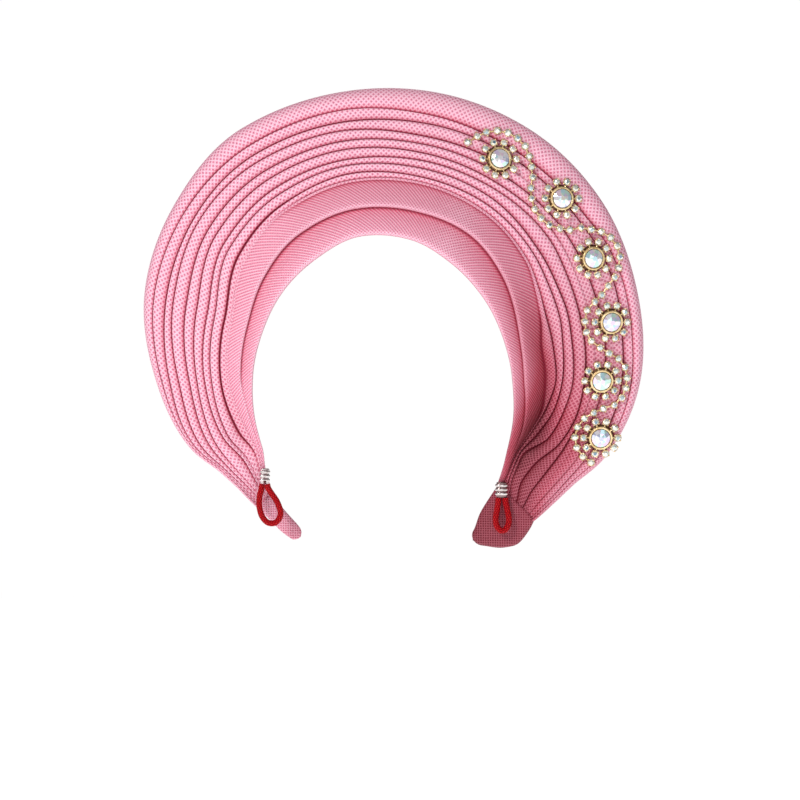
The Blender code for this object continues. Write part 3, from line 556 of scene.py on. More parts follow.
# The shape across a fold: part of the way across, height if it rises from a deep crease, and height if it
# falls to one. Pleats stand up at their outer edge, and bands at their inner one.
SHAPE_COLUMNS = ("part", "rising", "falling")
PLEAT_SHAPE = table(SHAPE_COLUMNS, (
    (0.00, 0.00, 1.00), (0.05, 0.15, 1.00), (0.12, 0.32, 1.00), (0.24, 0.54, 1.00), (0.40, 0.74, 1.00),
    (0.58, 0.90, 1.00), (0.74, 0.97, 1.00), (0.87, 1.00, 1.00), (0.95, 1.00, 0.90), (0.99, 1.00, 0.62)))
BAND_SHAPE = table(SHAPE_COLUMNS, (
    (0.00, 0.15, 1.00), (0.03, 0.65, 1.00), (0.07, 0.92, 1.00), (0.13, 1.00, 1.00), (0.22, 1.00, 0.95),
    (0.36, 1.00, 0.80), (0.52, 1.00, 0.62), (0.68, 1.00, 0.45), (0.84, 1.00, 0.25), (0.96, 1.00, 0.08)))
# Soft hollows between the folds: share is the way from hem to rim, depth is pushed towards the back.
HOLLOW_COLUMNS = ("angle", "half_angle", "share", "half_share", "depth")
HOLLOWS = table(HOLLOW_COLUMNS, (
    (84, 20, 0.30, 0.13, 0.0070), (106, 12, 0.29, 0.10, 0.0070), (-112, 12, 0.30, 0.12, 0.0030)))
# Painted shade: in these patches the cloth is painted darker and redder, most of all at the lower right.
SHADE_PATCH_COLUMNS = ("angle", "half_angle", "share", "half_share", "amount")
SHADE_PATCHES = table(SHADE_PATCH_COLUMNS, (
    (76, 34, 0.19, 0.14, 0.36), (93, 20, 0.28, 0.08, 0.26), (112, 16, 0.18, 0.17, 0.38),
    (124, 22, 0.38, 0.55, 0.70), (94, 36, 0.56, 0.30, 0.38), (-112, 16, 0.26, 0.12, 0.10),
    (-4, 60, 0.24, 0.13, 0.08), (-136, 8, 0.50, 0.60, 0.18), (135, 7, 0.90, 0.50, 0.40)))
THREAD_HALF_SHADE = (0.68, 0.31, 0.35)
THREAD_FULL_SHADE = (0.40, 0.15, 0.17)
# A corner of a cloth's outline. Crest is how near it is to a fold's high edge, which sets its painted light
# and shade, and the next value how much extra painted shade it takes. Twill is how strongly the twill lines
# show, below 0 at the left and above 0 at the right.
Corner = namedtuple("Corner", "point fold crest nap twill", defaults=(0, 0.6, 0.0, 0.0))


def read(rows, column, angle):
    """A table's value at an angle, on a smooth curve that never overshoots its rows."""
    angles = [row["angle"] for row in rows]
    values = [row[column] for row in rows]
    if angles[0] > angles[-1]:
        angles.reverse()
        values.reverse()
    angle = min(max(angle, angles[0]), angles[-1])
    place = max(i for i in range(len(angles) - 1) if angles[i] <= angle)
    spans = [b - a for a, b in zip(angles, angles[1:])]
    rates = [(b - a) / span for a, b, span in zip(values, values[1:], spans)]

    def slope(i):
        if i == 0 or i == len(angles) - 1:
            return rates[min(i, len(rates) - 1)]
        before, after = rates[i - 1], rates[i]
        return 0.0 if before * after <= 0 else 2 * before * after / (before + after)

    span = spans[place]
    t = (angle - angles[place]) / span
    start, end = values[place], values[place + 1]
    lift = (1 - t) ** 2 * t * slope(place) * span - t ** 2 * (1 - t) * slope(place + 1) * span
    return start + (end - start) * t * t * (3 - 2 * t) + lift


def chart(angle, radius, depth):
    """A point of the fan from its angle, its distance from the origin and its depth."""
    turn = radians(angle)
    return Vector((radius * sin(turn), depth, radius * cos(turn)))


def hem_depth(angle):
    """The hem lies in a tilted opening: foremost at the forehead, furthest back at the nape."""
    return -0.5 * TILT_DEPTH * cos(radians(angle))


def nearness(row, angle, share):
    """How near a place is to the middle of a hollow or of a patch of painted shade, from 0 to 1."""
    return exp(-((angle - row["angle"]) / row["half_angle"]) ** 2
               - ((share - row["share"]) / row["half_share"]) ** 2)


def hollow_depth(angle, share):
    """How far the soft hollows push the cloth back."""
    return sum(row["depth"] * nearness(row, angle, share) for row in HOLLOWS)


def painted_shade_at(angle, share):
    """How much painted shade the cloth takes at a place, from 0 to 1."""
    return min(1.0, sum(row["amount"] * nearness(row, angle, share) for row in SHADE_PATCHES))


def cloth_depth(angle, share):
    """Depth of the fan under its folds: the tilted hem, the lean towards the rim and the soft hollows."""
    lean = LEAN_DEPTH * read(SECTIONS, "lean", angle)
    return hem_depth(angle) + lean * max(share, 0.0) ** LEAN_CURVE + hollow_depth(angle, share)


def wander(angle, line, size):
    """A small smooth change along a fold, another for each line."""
    per_line, layer = WANDER_SEEDS
    return size * noise.noise(Vector((angle * WANDER_RATE, per_line * line, layer)))


def fold_rows(angle):
    """The face of one section: share, height, fold, crest and twill of each point across its folds."""
    size = read(SECTIONS, "rise", angle)
    starts = [0.0] + [read(FOLDS, name, angle) + wander(angle, i + 1, WANDER) * min(1.0, size)
                      for i, name in enumerate(FOLD_NAMES)]
    sharp = [1.0] + [read(CREASES, name, angle) for name in FOLD_NAMES]
    sharp[1] = max(sharp[1], 0.05)
    rows = []
    for fold, (start, end) in enumerate(zip(starts, starts[1:])):
        band = fold < 2
        open_start, open_end = sharp[fold], sharp[fold + 1]
        if fold == 1:
            open_end = max(sharp[2], sharp[3])
        rise = (BAND_RISE if band else PLEAT_RISE) * size * (1 + wander(angle, fold + 20, RISE_CHANGE))
        for shape in BAND_SHAPE if band else PLEAT_SHAPE:
            part = shape["part"]
            up = 1 - (1 - shape["rising"]) * open_start
            down = 1 - (1 - shape["falling"]) * open_end
            height = rise * up * down
            crest = up * down
            twill = 0.0
            if band:
                # A band settles on the first pleat where no crease parts them, and its raised edge gets a
                # painted highlight.
                settle = PLEAT_RISE * size * (1 - open_end) * part
                height = height * (1 - (1 - open_end) * part) + settle
                fade = BAND_FADE + BAND_CREASE_FADE * open_end
                foot = BAND_FOOT_SHADE * open_end * (part > BAND_FOOT)
                crest = BAND_CREST * up * (1 - part * fade) * (1 - foot)
                lit = LIT_PARTS[0] < part < LIT_PARTS[1]
                crest = max(crest, LIT_CREST * open_start * lit * size)
                twill = TWILL * held((part - TWILL_START) / TWILL_BLEND)
            elif fold == 2:
                # The tuck beside the bands lies flat where its own crease is pressed out.
                on_pleat = PLEAT_RISE * size * (1 - sharp[3]) * TUCK_ON_PLEAT
                on_band = TUCK_ON_BAND * BAND_RISE * size * sharp[3]
                flat = on_pleat + on_band
                height = height * sharp[2] + flat * (1 - sharp[2]) * (1 - TUCK_FALL * part * sharp[3])
            elif fold == 3:
                # The first pleat is painted no lighter than the band beside it where no crease parts them.
                crest *= 1 - JOINED_SHADE * (1 - open_start)
            elif fold == 4:
                # The crease that the bands end in is the deepest, so its painted shade is the widest.
                crest -= DEEP_SHADE * (1 - sharp[3]) * max(0.0, DEEP_PART - part)
            rows.append((start + (end - start) * part, height, fold, crest, twill))
    flat = 1 - sharp[-1]
    rows.append((starts[-1], PLEAT_RISE * size * flat, len(starts) - 1, flat, 0.0))
    return rows


def roll_arc(angle):
    """Centre and half sizes of the rolled rim: radial place, depth, radial half, depth half."""
    hem = HEM_RADIUS * read(SECTIONS, "hem", angle)
    rim = RIM_RADIUS * read(SECTIONS, "rim", angle)
    start = read(FOLDS, "rim_roll", angle)
    inner = hem + (rim - hem) * start
    centre = inner + ROLL_CENTRE * (rim - inner)
    half_depth = 0.5 * ROLL_DEPTH * read(SECTIONS, "roll", angle)
    return centre, cloth_depth(angle, start) + 0.5 * half_depth, rim - centre, half_depth


def front_outline(angle):
    """Closed outline of the front at one angle: over the folds and the rim, and back along the inside."""
    hem = HEM_RADIUS * read(SECTIONS, "hem", angle)
    rim = RIM_RADIUS * read(SECTIONS, "rim", angle)
    centre, depth, half, half_depth = roll_arc(angle)
    last = len(FOLD_NAMES)

    def on_roll(turn, half, half_depth):
        swing = radians(turn)
        return chart(angle, centre + half * cos(swing), depth - half_depth * sin(swing))

    side = held((angle - TWILL_TURN) / TWILL_TURN_SPAN, -1.0)
    corners = []
    for share, height, fold, crest, twill in fold_rows(angle):
        place = chart(angle, hem + (rim - hem) * share, cloth_depth(angle, share) - height)
        corners.append(Corner(place, fold, crest, painted_shade_at(angle, share), twill * side))
    # The roll is painted into shade where it turns down into the crease before it.
    lit, dark = ROLL_SHADE_TURNS
    for turn in ROLL_TURNS:
        crest = held((dark - turn) / (dark - lit))
        corners.append(Corner(on_roll(turn, half, half_depth), last, crest, painted_shade_at(angle, 1.0)))
    back = depth + half_depth
    corners += [Corner(chart(angle, centre - 0.5 * TURNED_EDGE, back), last, 1.0),
                Corner(chart(angle, centre - TURNED_EDGE, back), last, 1.0),
                Corner(chart(angle, centre - TURNED_EDGE, back - CLOTH), last, 0.3)]
    inner_half, inner_depth = max(half - CLOTH, 0.4 * half), half_depth - CLOTH
    corners += [Corner(on_roll(turn, inner_half, inner_depth), last + 1) for turn in INNER_TURNS]
    start = read(FOLDS, "rim_roll", angle)
    for share in (part * start for part in INNER_PARTS):
        place = chart(angle, hem + (rim - hem) * share, cloth_depth(angle, share) + CLOTH)
        corners.append(Corner(place, last + 1))
    return corners


def woven_cloth(name, pale, ground, low, dot, shine):
    """The cloth of the head tie: a trellis of pale threads over a dense ground, with dots in its holes.

    The ground goes from low, a painted shade, in a crease to ground at a fold's high edge. Shine is how
    glossy the threads are.
    """
    material, start, shader = new_material(name)
    along, across = weave_place(start)
    crest, nap, twill = (start.add("ShaderNodeAttribute", {"attribute_name": column}, output=2)
                         for column in ("crest", "nap", "twill"))
    rough = uneven(start, 900.0, 2.0)
    # Two sets of threads cross. Twill of either sign fades one set, so the other shows as lines.
    one = along * (1 / CELL_ALONG) + across * (1 / CELL_ACROSS) + rough * UNEVEN_THREAD
    two = along * (1 / CELL_ALONG) - across * (1 / CELL_ACROSS) + rough * UNEVEN_THREAD
    one, two = (start.math("PINGPONG", lines, 0.5) for lines in (one, two))
    one = one + (0.5 - one) * start.math("MAXIMUM", twill, 0.0)
    two = two + (0.5 - two) * start.math("MAXIMUM", twill * -1.0, 0.0)
    near = one.math("MINIMUM", one, two)
    thread, hole = near.ease(*THREAD_EDGE), near.ease(*HOLE_EDGE)
    fine = start.math("SINE", across * YARN) * start.math("SINE", along * YARN)
    # Painted shade: the ground and the threads darken in the patches of painted shade, and the ground also
    # from a fold's edge to its crease.
    fold_light, crease_shade = crest.ease(*FOLD_LIGHT_CREST), crest.ease(*CREASE_SHADE_CREST)
    ground_shades = ((0.0, (1.0, 1.0, 1.0)), (0.6, (0.47, 0.100, 0.14)), (1.0, (0.16, 0.020, 0.03)))
    thread_shades = ((0.0, pale), (0.6, [a * b for a, b in zip(pale, THREAD_HALF_SHADE)]),
               (1.0, [a * b for a, b in zip(pale, THREAD_FULL_SHADE)]))
    shade, light = nap.ramp(ground_shades), nap.ramp(thread_shades)
    body = start.mix(fold_light, (*low, 1.0), (*ground, 1.0))
    body = start.mix(fine * 0.08 + 0.08, body, (*pale, 1.0))
    body = start.mix(1.0, body, shade, "MULTIPLY")
    body = start.mix(thread * (fold_light * 0.52 + 0.28), body, light)
    dots = (fold_light * 0.50 + 0.38) * (1.0 - nap * 0.6 - start.math("ABSOLUTE", twill) * 0.8)
    body = start.mix(hole * dots, body, (*dot, 1.0))
    # Painted shade darkens each crease, and a painted highlight lightens each band's raised edge.
    body = start.mix(crease_shade * CREASE_SHADE_STRENGTH, body, (*CREASE_SHADE_COLOUR, 1.0))
    lit = {0: crest, 1: LIT_START, 2: LIT_CREST, 3: 0.0, 4: LIT_STRENGTH}
    edge = crest.add("ShaderNodeMapRange", {}, lit)
    feed(start.mix(edge, body, light), shader["Base Color"])
    feed(0.62 - thread * shine, shader["Roughness"])
    shader["Specular IOR Level"].default_value = 0.2
    relief = {"Height": thread + fine * 0.12 - hole * 0.5, "Distance": 0.00035, "Strength": 0.7}
    feed(start.add("ShaderNodeBump", {}, relief), shader["Normal"])
    return material


def stations(start, end, count):
    """Evenly spaced values, such as angles, from one end of a cloth to the other."""
    return [start + (end - start) * i / count for i in range(count + 1)]


def girths(outlines):
    """How far round its outline each corner lies, for each outline."""
    return [distances([corner.point for corner in outline + outline[:1]]) for outline in outlines]


def cloth_skin(name, outlines, material, weave_of):
    """A closed skin of cloth through a run of closed outlines, as a piece with its weave laid out in metres.

    weave_of gives the weave at a corner from its station, its row and the lowest row of the face it is in.
    """
    columns, rows = len(outlines) - 1, len(outlines[0])
    build = bmesh.new()
    weave = build.loops.layers.uv.new("weave")
    layers = {column: build.verts.layers.float.new(column) for column in ("crest", "nap", "twill")}
    bmesh.ops.create_grid(build, x_segments=columns, y_segments=rows, size=0.5)
    spots = {vertex: (round((vertex.co.x + 0.5) * columns), round((vertex.co.y + 0.5) * rows))
             for vertex in build.verts}
    for face in build.faces:
        strip = min(spots[vertex][1] for vertex in face.verts)
        for loop in face.loops:
            loop[weave].uv = weave_of(*spots[loop.vert], strip)
    for vertex, (station, row) in spots.items():
        corner = outlines[station][row % rows]
        vertex.co = corner.point
        for column, layer in layers.items():
            vertex[layer] = getattr(corner, column)
    bmesh.ops.remove_doubles(build, verts=build.verts, dist=CLOTH_MERGE)
    bmesh.ops.holes_fill(build, edges=build.edges, sides=0)
    bmesh.ops.recalc_face_normals(build, faces=build.faces)
    return finish_piece(name, build, [material])


pink_cloth = woven_cloth("pink trellis cloth", (0.93, 0.62, 0.74), (0.82, 0.26, 0.38), (0.56, 0.025, 0.08),
                         (0.20, 0.075, 0.14), 0.18)

angles = stations(LEFT_TIP, RIGHT_TIP, FRONT_STATIONS)
front_outlines = [front_outline(angle) for angle in angles]
front_girths = girths(front_outlines)
gather_start, gather_end = GATHER_ANGLES
gathers = [1 + END_GATHER * held((angle - gather_start) / (gather_end - gather_start)) for angle in angles]
fold_of = [corner.fold for corner in front_outlines[0]]
first_row = {fold: fold_of.index(fold) for fold in set(fold_of)}
fold_lengths = {}
for fold, row in first_row.items():
    middle = row + fold_of.count(fold) // 2
    reach = [0.0]
    for a, b, gather in zip(front_outlines, front_outlines[1:], gathers):
        reach.append(reach[-1] + gather * (b[middle].point - a[middle].point).length)
    fold_lengths[fold] = reach


def front_weave(station, row, strip):
    """The weave runs along each fold and across it, and is finer on the bands and at the right end."""
    fold = fold_of[strip]
    scale = BAND_WEAVE if fold < 3 else 1.0
    across = gathers[station] * (front_girths[station][row] - front_girths[station][first_row[fold]])
    return scale * fold_lengths[fold][station] + WEAVE_SHIFT[0] * fold, scale * across + WEAVE_SHIFT[1] * fold


pleated_front = cloth_skin("pleated_front", front_outlines, pink_cloth, front_weave)
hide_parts("gele_front")

# Plain back
# Behind the fan a plain panel of the same cloth closes the hood. Its upper edge is tucked under the rim's
# turned edge and stitched there. It hangs a little slack, with soft creases towards the nape.
BACK_STATIONS = 240
BACK_STEPS = 26
SLACK = 0.0009
SLACK_START = 0.02
NAPE_GATHER = 1.5
NAPE_ANGLE = 135.0
CREASE_ROUND = 0.11
CREASE_DOWN = 16.0
CREASE_SEED = 4.2

lining = woven_cloth("pink cloth, reverse side", (0.98, 0.56, 0.66), (0.76, 0.20, 0.29), (0.60, 0.075, 0.12),
                     (0.34, 0.08, 0.14), 0.08)


def back_outline(angle):
    """Closed outline of the back panel at one angle, down its outside and up its inside."""
    centre, depth, half, half_depth = roll_arc(angle)
    outer = depth + half_depth - CLOTH - SEAT_GAP
    shoulder = centre - TURNED_EDGE - 2 * SEAT_GAP
    hood = read(SECTIONS, "hood", angle)
    low = HEM_RADIUS * read(SECTIONS, "hem", angle) + BACK_HEM_INSET * hood
    low_depth = max(hem_depth(angle) + HOOD_DEPTH * hood, outer)
    outside = [Vector((centre, outer)), Vector((0.5 * (centre + shoulder), outer))]
    for step in range(BACK_STEPS + 1):
        part = step / BACK_STEPS
        outside.append(Vector((shoulder + (low - shoulder) * part,
                               outer + (low_depth - outer) * sin(0.5 * pi * part))))
    inside = []
    for i, point in enumerate(outside):
        along = (outside[min(i + 1, len(outside) - 1)] - outside[max(i - 1, 0)]).normalized()
        inside.append(point + Vector((along.y, along.x)) * CLOTH)
    inside[0] = Vector((centre, outer - CLOTH))
    gather = 1.0 + NAPE_GATHER * (abs(angle) / NAPE_ANGLE) ** 4
    outline = []
    for radius, place in outside + inside[::-1]:
        far = held((shoulder - radius) / SLACK_START)
        crease = noise.noise(Vector((angle * CREASE_ROUND, radius * CREASE_DOWN, CREASE_SEED))) * gather
        outline.append(Corner(chart(angle, radius, place - SLACK * far * (0.5 + crease))))
    return outline


back_outlines = [back_outline(angle) for angle in stations(LEFT_TIP, RIGHT_TIP, BACK_STATIONS)]
back_girths = girths(back_outlines)
back_length = distances([outline[len(outline) // 4].point for outline in back_outlines])
plain_back = cloth_skin("plain_back", back_outlines, lining,
                        lambda station, row, strip: (back_length[station], back_girths[station][row]))
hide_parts("gele_back")

# Rolled ends
# At the nape the gathered cloth is rolled up and stitched. The left end is a thin tail of the face side. The
# right end is a broad tab, wrapped round the ends of the pleats and painted darker with painted shade.
END_DEPTH = 0.0120
END_SETBACK = 0.30
END_SQUARENESS = 0.72
END_FOLD = 0.07
END_CREST = 0.75
END_SIDES = 64
END_STATIONS = 40
ROLLED_WEAVE = 1.1
END_COLUMNS = ("angle", "inner", "outer", "depth")
LEFT_END = table(END_COLUMNS, (
    (-135.4, 1.154, 0.630, 0.78), (-136.2, 1.160, 0.634, 0.90), (-141.0, 1.186, 0.637, 0.86),
    (-146.0, 1.210, 0.646, 0.80), (-150.0, 1.236, 0.649, 0.66), (-151.5, 1.262, 0.638, 0.40),
    (-152.0, 1.300, 0.626, 0.14)))
RIGHT_END = table(END_COLUMNS, (
    (133.4, 1.117, 0.716, 0.80), (134.2, 1.120, 0.721, 0.95), (137.0, 1.132, 0.732, 1.12),
    (141.0, 1.155, 0.741, 1.20), (145.0, 1.190, 0.722, 1.15), (149.0, 1.255, 0.684, 0.95),
    (151.0, 1.290, 0.662, 0.62), (151.6, 1.335, 0.640, 0.20)))


def end_outline(rows, angle, folds, nap):
    """Closed outline of a rolled end at one angle: a rounded box with soft folds along it."""
    inner = HEM_RADIUS * read(rows, "inner", angle)
    outer = RIM_RADIUS * read(rows, "outer", angle)
    half_depth = 0.5 * END_DEPTH * read(rows, "depth", angle)
    middle = hem_depth(angle) + END_SETBACK * END_DEPTH
    outline = []
    for side in range(END_SIDES):
        swing = 2 * pi * side / END_SIDES
        across, forward = (abs(way) ** END_SQUARENESS * (1 if way > 0 else -1)
                           for way in (cos(swing), sin(swing)))
        fold = 1.0 - END_FOLD * sin(folds * across * pi + 0.05 * angle) ** 2
        radius = 0.5 * (inner + outer) + 0.5 * (outer - inner) * across
        outline.append(Corner(chart(angle, radius, middle + half_depth * forward * fold), 0, END_CREST, nap))
    return outline


def rolled_weave(outlines):
    """The weave of a rolled end shows straight from the front, whichever way the cloth runs below it."""
    def weave_of(station, row, strip):
        point = outlines[station][row % END_SIDES].point
        return ROLLED_WEAVE * (point.x + point.z), ROLLED_WEAVE * (point.x - point.z)
    return weave_of


# Each end takes painted shade that grows along it, a little on the left and much on the right.
for side, rows, folds, end_shades in (("left", LEFT_END, 2.0, (0.08, 0.30)),
                                ("right", RIGHT_END, 1.0, (0.86, 1.0))):
    turns = stations(rows[0]["angle"], rows[-1]["angle"], END_STATIONS)
    outlines = [end_outline(rows, turn, folds, nap)
                for turn, nap in zip(turns, stations(*end_shades, END_STATIONS))]
    tied_end = cloth_skin(f"rolled_{side}", outlines, pink_cloth, rolled_weave(outlines))
    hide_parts(f"tie_end_{side}")

# Flowers
# Six flowers of cut crystal are stitched on the fan from the crown down its right side. Each has a round
# crystal in a turned gold bezel over a dark plate of painted shade, and ten small stones in four-pronged cups
# round it.
CRYSTAL_RADIUS = 0.0065
CRYSTAL_TOP = 0.0050
CRYSTAL_CLEARANCE = 0.0001
BEZEL_WALL = 0.0014
BEZEL_HEIGHT = 0.0030
BEZEL_FLOOR = 0.0009
SMALL_STONE_RADIUS = 0.0026
SMALL_CUP_HEIGHT = 0.0011
SMALL_STONE_TOP = 0.0028
RING_STONES = 10
RING_RADIUS = 0.0119
PLATE_RADIUS = 0.0092
PLATE_HEIGHTS = (0.0002, 0.0006, 0.0008)
BAR_RADIUS = 0.0006
SETTING_MERGE = 0.000004
SEAT_RINGS = (0.0, 0.35, 0.7, 1.0)
SEAT_RAYS = 16
# Each flower's angle from the crown, its share of the way from hem to rim, and the turn of its crystal.
FLOWER_COLUMNS = ("angle", "share", "turn")
FLOWERS = table(FLOWER_COLUMNS, (
    (27.5, 0.725, 8), (44.4, 0.792, 22), (59.9, 0.760, 3), (75.9, 0.767, 15), (90.5, 0.688, 26),
    (105.3, 0.842, 11)))
# What a facet shows: the mirrored room's light, broken up by the stone's rainbow coat.
LARGE_LIGHTS = ((0.95, 0.92, 0.98), (0.80, 0.66, 0.90), (0.55, 0.80, 0.88), (0.96, 0.90, 0.80),
                (0.92, 0.70, 0.84), (0.62, 0.88, 0.76), (0.98, 0.97, 1.0), (0.60, 0.62, 0.82))
SMALL_LIGHTS = ((1.0, 1.0, 0.96), (0.74, 0.84, 0.72), (0.96, 0.92, 0.78), (0.70, 0.76, 0.80),
                (0.92, 0.84, 0.60), (0.60, 0.74, 0.62), (0.98, 0.94, 0.96), (0.46, 0.50, 0.48))
SMALL_TABLES = ((0.16, 0.26, 0.36), (0.34, 0.46, 0.50), (0.60, 0.70, 0.66), (0.88, 0.88, 0.80),
                (0.74, 0.76, 0.66))
dice = random.Random(11)

gold, start, shader = new_material("pale gold setting")
worn = uneven(start, 260.0, 3.0)
feed(worn.ramp(((0.35, (0.62, 0.42, 0.18)), (0.62, (0.90, 0.72, 0.42)))), shader["Base Color"])
feed(worn * 0.16 + 0.20, shader["Roughness"])
shader["Metallic"].default_value = 0.75

# Painted shade: a dark plate under each bezel, so the gaps between the bezel and the small stones look
# shaded.
shadow, _, shader = new_material("dark bronze plate")
shader["Base Color"].default_value = (0.11, 0.05, 0.018, 1.0)
shader["Roughness"].default_value = 0.45
shader["Metallic"].default_value = 0.6

crystal, start, shader = new_material("rainbow crystal")
feed(start.add("ShaderNodeAttribute", {"attribute_name": "facet"}), shader["Base Color"])
shader["Roughness"].default_value = 0.07
shader["Metallic"].default_value = 0.55
shader["IOR"].default_value = 1.56
shader["Coat Weight"].default_value = 0.8
shader["Coat Roughness"].default_value = 0.02
shader["Thin Film Thickness"].default_value = 380.0

# The places of gold, stone and the dark plate of painted shade in a setting's list of materials.
GOLD, STONE, SHADOW = range(3)

seen_cloth = bmesh.new()
seen_cloth.from_mesh(pleated_front.data)
cloth_tree = BVHTree.FromBMesh(seen_cloth)
seen_cloth.free()


def front_of(x, z):
    """Depth of the cloth that is seen at a place from the front, or None beside the cloth."""
    hit = cloth_tree.ray_cast(Vector((x, -1.0, z)), Vector((0.0, 1.0, 0.0)))
    return hit[0].y if hit[0] is not None else None


def seat(x, z, reach):
    """A frame that stands on the cloth: its Z points away from it and clears its highest fold."""
    samples = []
    for ring in SEAT_RINGS:
        for i in range(SEAT_RAYS if ring else 1):
            turn = 2 * pi * i / SEAT_RAYS
            dx, dz = reach * ring * cos(turn), reach * ring * sin(turn)
            depth = front_of(x + dx, z + dz)
            if depth is not None:
                samples.append((dx, depth, dz))
    mean = sum(depth for _, depth, _ in samples) / len(samples)
    slope_x = sum(dx * (depth - mean) for dx, depth, _ in samples) / sum(dx * dx for dx, _, _ in samples)
    slope_z = sum(dz * (depth - mean) for _, depth, dz in samples) / sum(dz * dz for _, _, dz in samples)
    outward = Vector((slope_x, -1.0, slope_z)).normalized()
    lift = max(outward.dot(Vector((dx, depth - mean, dz))) for dx, depth, dz in samples)
    place = Vector((x, mean, z)) + outward * (lift + SEAT_GAP)
    return Matrix.Translation(place) @ outward.to_track_quat("Z", "Y").to_matrix().to_4x4()


def ring_points(radius, height, sides, turn=0.0):
    """Points spread evenly on a level circle."""
    return [Vector((radius * cos(turn + 2 * pi * i / sides), radius * sin(turn + 2 * pi * i / sides), height))
            for i in range(sides)]


def cut_stone(build, frame, radius, table_share, heights, table_lights, lights):
    """A round cut stone with a table, eight star and sixteen crown facets, each with a light of its own."""
    facet = build.loops.layers.float_color["facet"]
    turn = pi / 8
    low, girdle, high = heights
    star = 0.5 * (1 + table_share)
    points = (ring_points(table_share * radius, high, 8, turn)
              + ring_points(star * radius, girdle + 0.62 * (high - girdle), 8)
              + ring_points(radius, girdle, 16, 0.5 * turn) + ring_points(0.97 * radius, low, 16, 0.5 * turn))
    verts = [build.verts.new(frame @ point) for point in points]
    made = bmesh.ops.convex_hull(build, input=verts)["geom"]
    faces = [item for item in made if isinstance(item, bmesh.types.BMFace)]
    edges = {edge for face in faces for edge in face.edges}
    bmesh.ops.dissolve_limit(build, angle_limit=radians(1.5), edges=list(edges), verts=verts)
    up = (frame.to_3x3() @ Vector((0.0, 0.0, 1.0))).normalized()
    # The facets take their lights in one fixed order, by their places in the stone.
    flat = frame.inverted()
    facets = {face for vertex in verts if vertex.is_valid for face in vertex.link_faces}
    for face in sorted(facets, key=lambda face: (flat @ face.calc_center_median()).to_tuple(5)):
        face.normal_update()
        light = dice.choice(table_lights) if face.normal.dot(up) > 0.99 else dice.choice(lights)
        face.material_index = STONE
        face.smooth = False
        for loop in face.loops:
            loop[facet] = (*light, 1.0)


def turned(build, frame, profile, steps, material):
    """A body turned round its frame's axis from a profile of distance and height."""
    line = [build.verts.new((across, 0.0, height)) for across, height in profile]
    edges = [build.edges.new(pair) for pair in zip(line, line[1:])]
    before = set(build.faces)
    bmesh.ops.spin(build, geom=line + edges, cent=(0, 0, 0), axis=(0, 0, 1), angle=2 * pi, steps=steps,
                   use_merge=True)
    faces = [face for face in build.faces if face not in before]
    verts = list({vertex for face in faces for vertex in face.verts})
    bmesh.ops.transform(build, matrix=frame, verts=verts)
    for face in faces:
        face.material_index = material
        face.smooth = True


def new_setting():
    """A bmesh for gold and stones together, with the facet lights."""
    build = bmesh.new()
    build.loops.layers.float_color.new("facet")
    return build


def small_stone(build, frame, turn):
    """A small stone in its cup with four prongs."""
    radius, cup = SMALL_STONE_RADIUS, SMALL_CUP_HEIGHT
    local = frame @ Matrix.Rotation(turn, 4, "Z")
    turned(build, local, ((0.0, 0.0), (0.86 * radius, 0.0), (0.98 * radius, 0.25 * cup), (radius, cup),
                          (1.04 * radius, 1.20 * cup), (0.84 * radius, 1.45 * cup)), 20, GOLD)
    for i in range(4):
        swing = pi / 4 + 0.5 * pi * i
        place = local @ Vector((0.96 * radius * cos(swing), 0.96 * radius * sin(swing), 1.45 * cup))
        ball = bmesh.ops.create_icosphere(build, subdivisions=2, radius=0.24 * radius,
                                          matrix=Matrix.Translation(place))
        for face in {face for vertex in ball["verts"] for face in vertex.link_faces}:
            face.smooth = True
    cut_stone(build, local, 0.88 * radius, 0.45, (0.5 * cup, 1.50 * cup, SMALL_STONE_TOP), SMALL_TABLES,
              SMALL_LIGHTS)


def bar(build, start, end):
    """A short round bar of gold between two points."""
    span = end - start
    frame = Matrix.Translation(start) @ span.to_track_quat("Z", "Y").to_matrix().to_4x4()
    turned(build, frame, ((BAR_RADIUS, 0.0), (BAR_RADIUS, span.length)), 8, GOLD)


def finish_setting(name, build):
    """Close a piece of gold and stones and set its finishes."""
    bmesh.ops.remove_doubles(build, verts=build.verts, dist=SETTING_MERGE)
    return finish_piece(name, build, [gold, crystal, shadow], smooth=False)


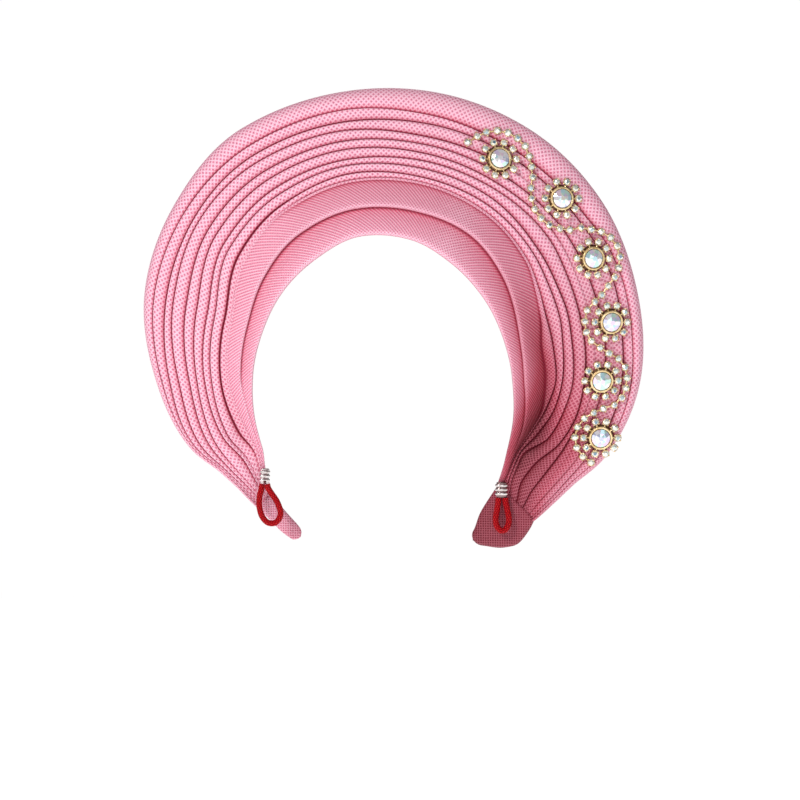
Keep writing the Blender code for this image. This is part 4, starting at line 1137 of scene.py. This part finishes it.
flower_places = []
for number, row in enumerate(FLOWERS, start=1):
    hem = HEM_RADIUS * read(SECTIONS, "hem", row["angle"])
    rim = RIM_RADIUS * read(SECTIONS, "rim", row["angle"])
    point = chart(row["angle"], hem + (rim - hem) * row["share"], 0.0)
    flower_places.append((point.x, point.z))
    frame = seat(point.x, point.z, RING_RADIUS + SMALL_STONE_RADIUS)
    build = new_setting()
    inner = CRYSTAL_RADIUS + SEAT_GAP
    outer, high = inner + BEZEL_WALL, BEZEL_HEIGHT
    turned(build, frame, ((0.0, 0.0), (0.96 * outer, 0.0), (outer, 0.14 * high), (outer, 0.80 * high),
                          (0.99 * outer, 0.95 * high), (0.96 * outer, high), (1.03 * inner, 1.04 * high),
                          (1.01 * inner, 1.01 * high), (inner, 0.92 * high), (inner, BEZEL_FLOOR),
                          (0.0, BEZEL_FLOOR)), 64, GOLD)
    # The dark plate is painted shade between the bezel and the ring of small stones.
    foot, edge, top = PLATE_HEIGHTS
    turned(build, frame, ((0.90 * outer, foot), (PLATE_RADIUS, foot), (PLATE_RADIUS, edge),
                          (0.90 * outer, top)), 60, SHADOW)
    height = 0.55 * SMALL_CUP_HEIGHT
    for i in range(RING_STONES):
        around = frame @ Matrix.Rotation(2 * pi * i / RING_STONES, 4, "Z")
        small_stone(build, around @ Matrix.Translation((RING_RADIUS, 0.0, 0.0)), 0.0)
        bar(build, around @ Vector((0.96 * outer, 0.0, height)),
            around @ Vector((RING_RADIUS - 0.9 * SMALL_STONE_RADIUS, 0.0, height)))
    setting = finish_setting(f"flower_{number}_setting", build)
    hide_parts(f"flower_setting_{number}")
    build = new_setting()
    cut_stone(build, frame @ Matrix.Rotation(radians(row["turn"]), 4, "Z"),
              CRYSTAL_RADIUS - CRYSTAL_CLEARANCE, 0.26,
              (BEZEL_FLOOR + SEAT_GAP, 0.95 * BEZEL_HEIGHT, CRYSTAL_TOP), LARGE_LIGHTS, LARGE_LIGHTS)
    stone = finish_setting(f"flower_{number}_crystal", build)
    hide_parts(f"flower_crystal_{number}")

# Stone chain
# A chain of small stones in gold cups winds in one line round the six flowers. Its cups hang on short links
# and are stitched to the cloth, so each stone lies on the fold below it.
CHAIN_REACH = 0.0194
CHAIN_PITCH = 0.0074
ARC_POINTS = 5
CHAIN_SPAN_STEPS = 12
# Round each flower the chain runs from one bearing to another, at shares of its usual reach.
ARC_COLUMNS = ("from_bearing", "to_bearing", "start", "middle", "end")
CHAIN_ARCS = table(ARC_COLUMNS, (
    (-61, 112, 1.26, 1.00, 1.28), (-76, -190, 1.12, 1.02, 1.12), (-20, 148, 1.14, 0.98, 1.12),
    (-22, -172, 0.98, 0.93, 1.06), (32, 180, 1.00, 0.95, 1.04), (-22, -160, 0.93, 0.92, 0.95)))

corners = []
for (x, z), arc in zip(flower_places, CHAIN_ARCS):
    for i in range(ARC_POINTS):
        t = i / (ARC_POINTS - 1)
        bearing = radians(arc["from_bearing"] + (arc["to_bearing"] - arc["from_bearing"]) * t)
        ends = arc["start"] * (1 - t) + arc["end"] * t
        reach = CHAIN_REACH * (arc["middle"] + (ends - arc["middle"]) * (2 * t - 1) ** 2)
        corners.append(Vector((x + reach * sin(bearing), 0.0, z + reach * cos(bearing))))
curve = spline(corners, CHAIN_SPAN_STEPS)
route = evenly(curve, round(distances(curve)[-1] / CHAIN_PITCH) + 1)
frames = [seat(point.x, point.z, 0.5 * CHAIN_PITCH + SEAT_GAP) for point in route]
half = len(frames) // 2
height = Vector((0.0, 0.0, 0.5 * SMALL_CUP_HEIGHT))
for name, run in (("upper", frames[:half]), ("lower", frames[half:])):
    build = new_setting()
    for i, frame in enumerate(run):
        small_stone(build, frame, dice.uniform(0.0, pi))
        if i:
            start, end = run[i - 1] @ height, frame @ height
            reach = (end - start).normalized() * 0.9 * SMALL_STONE_RADIUS
            bar(build, start + reach, end - reach)
    chain = finish_setting(f"chain_{name}", build)
    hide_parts(f"stone_chain_{name}")
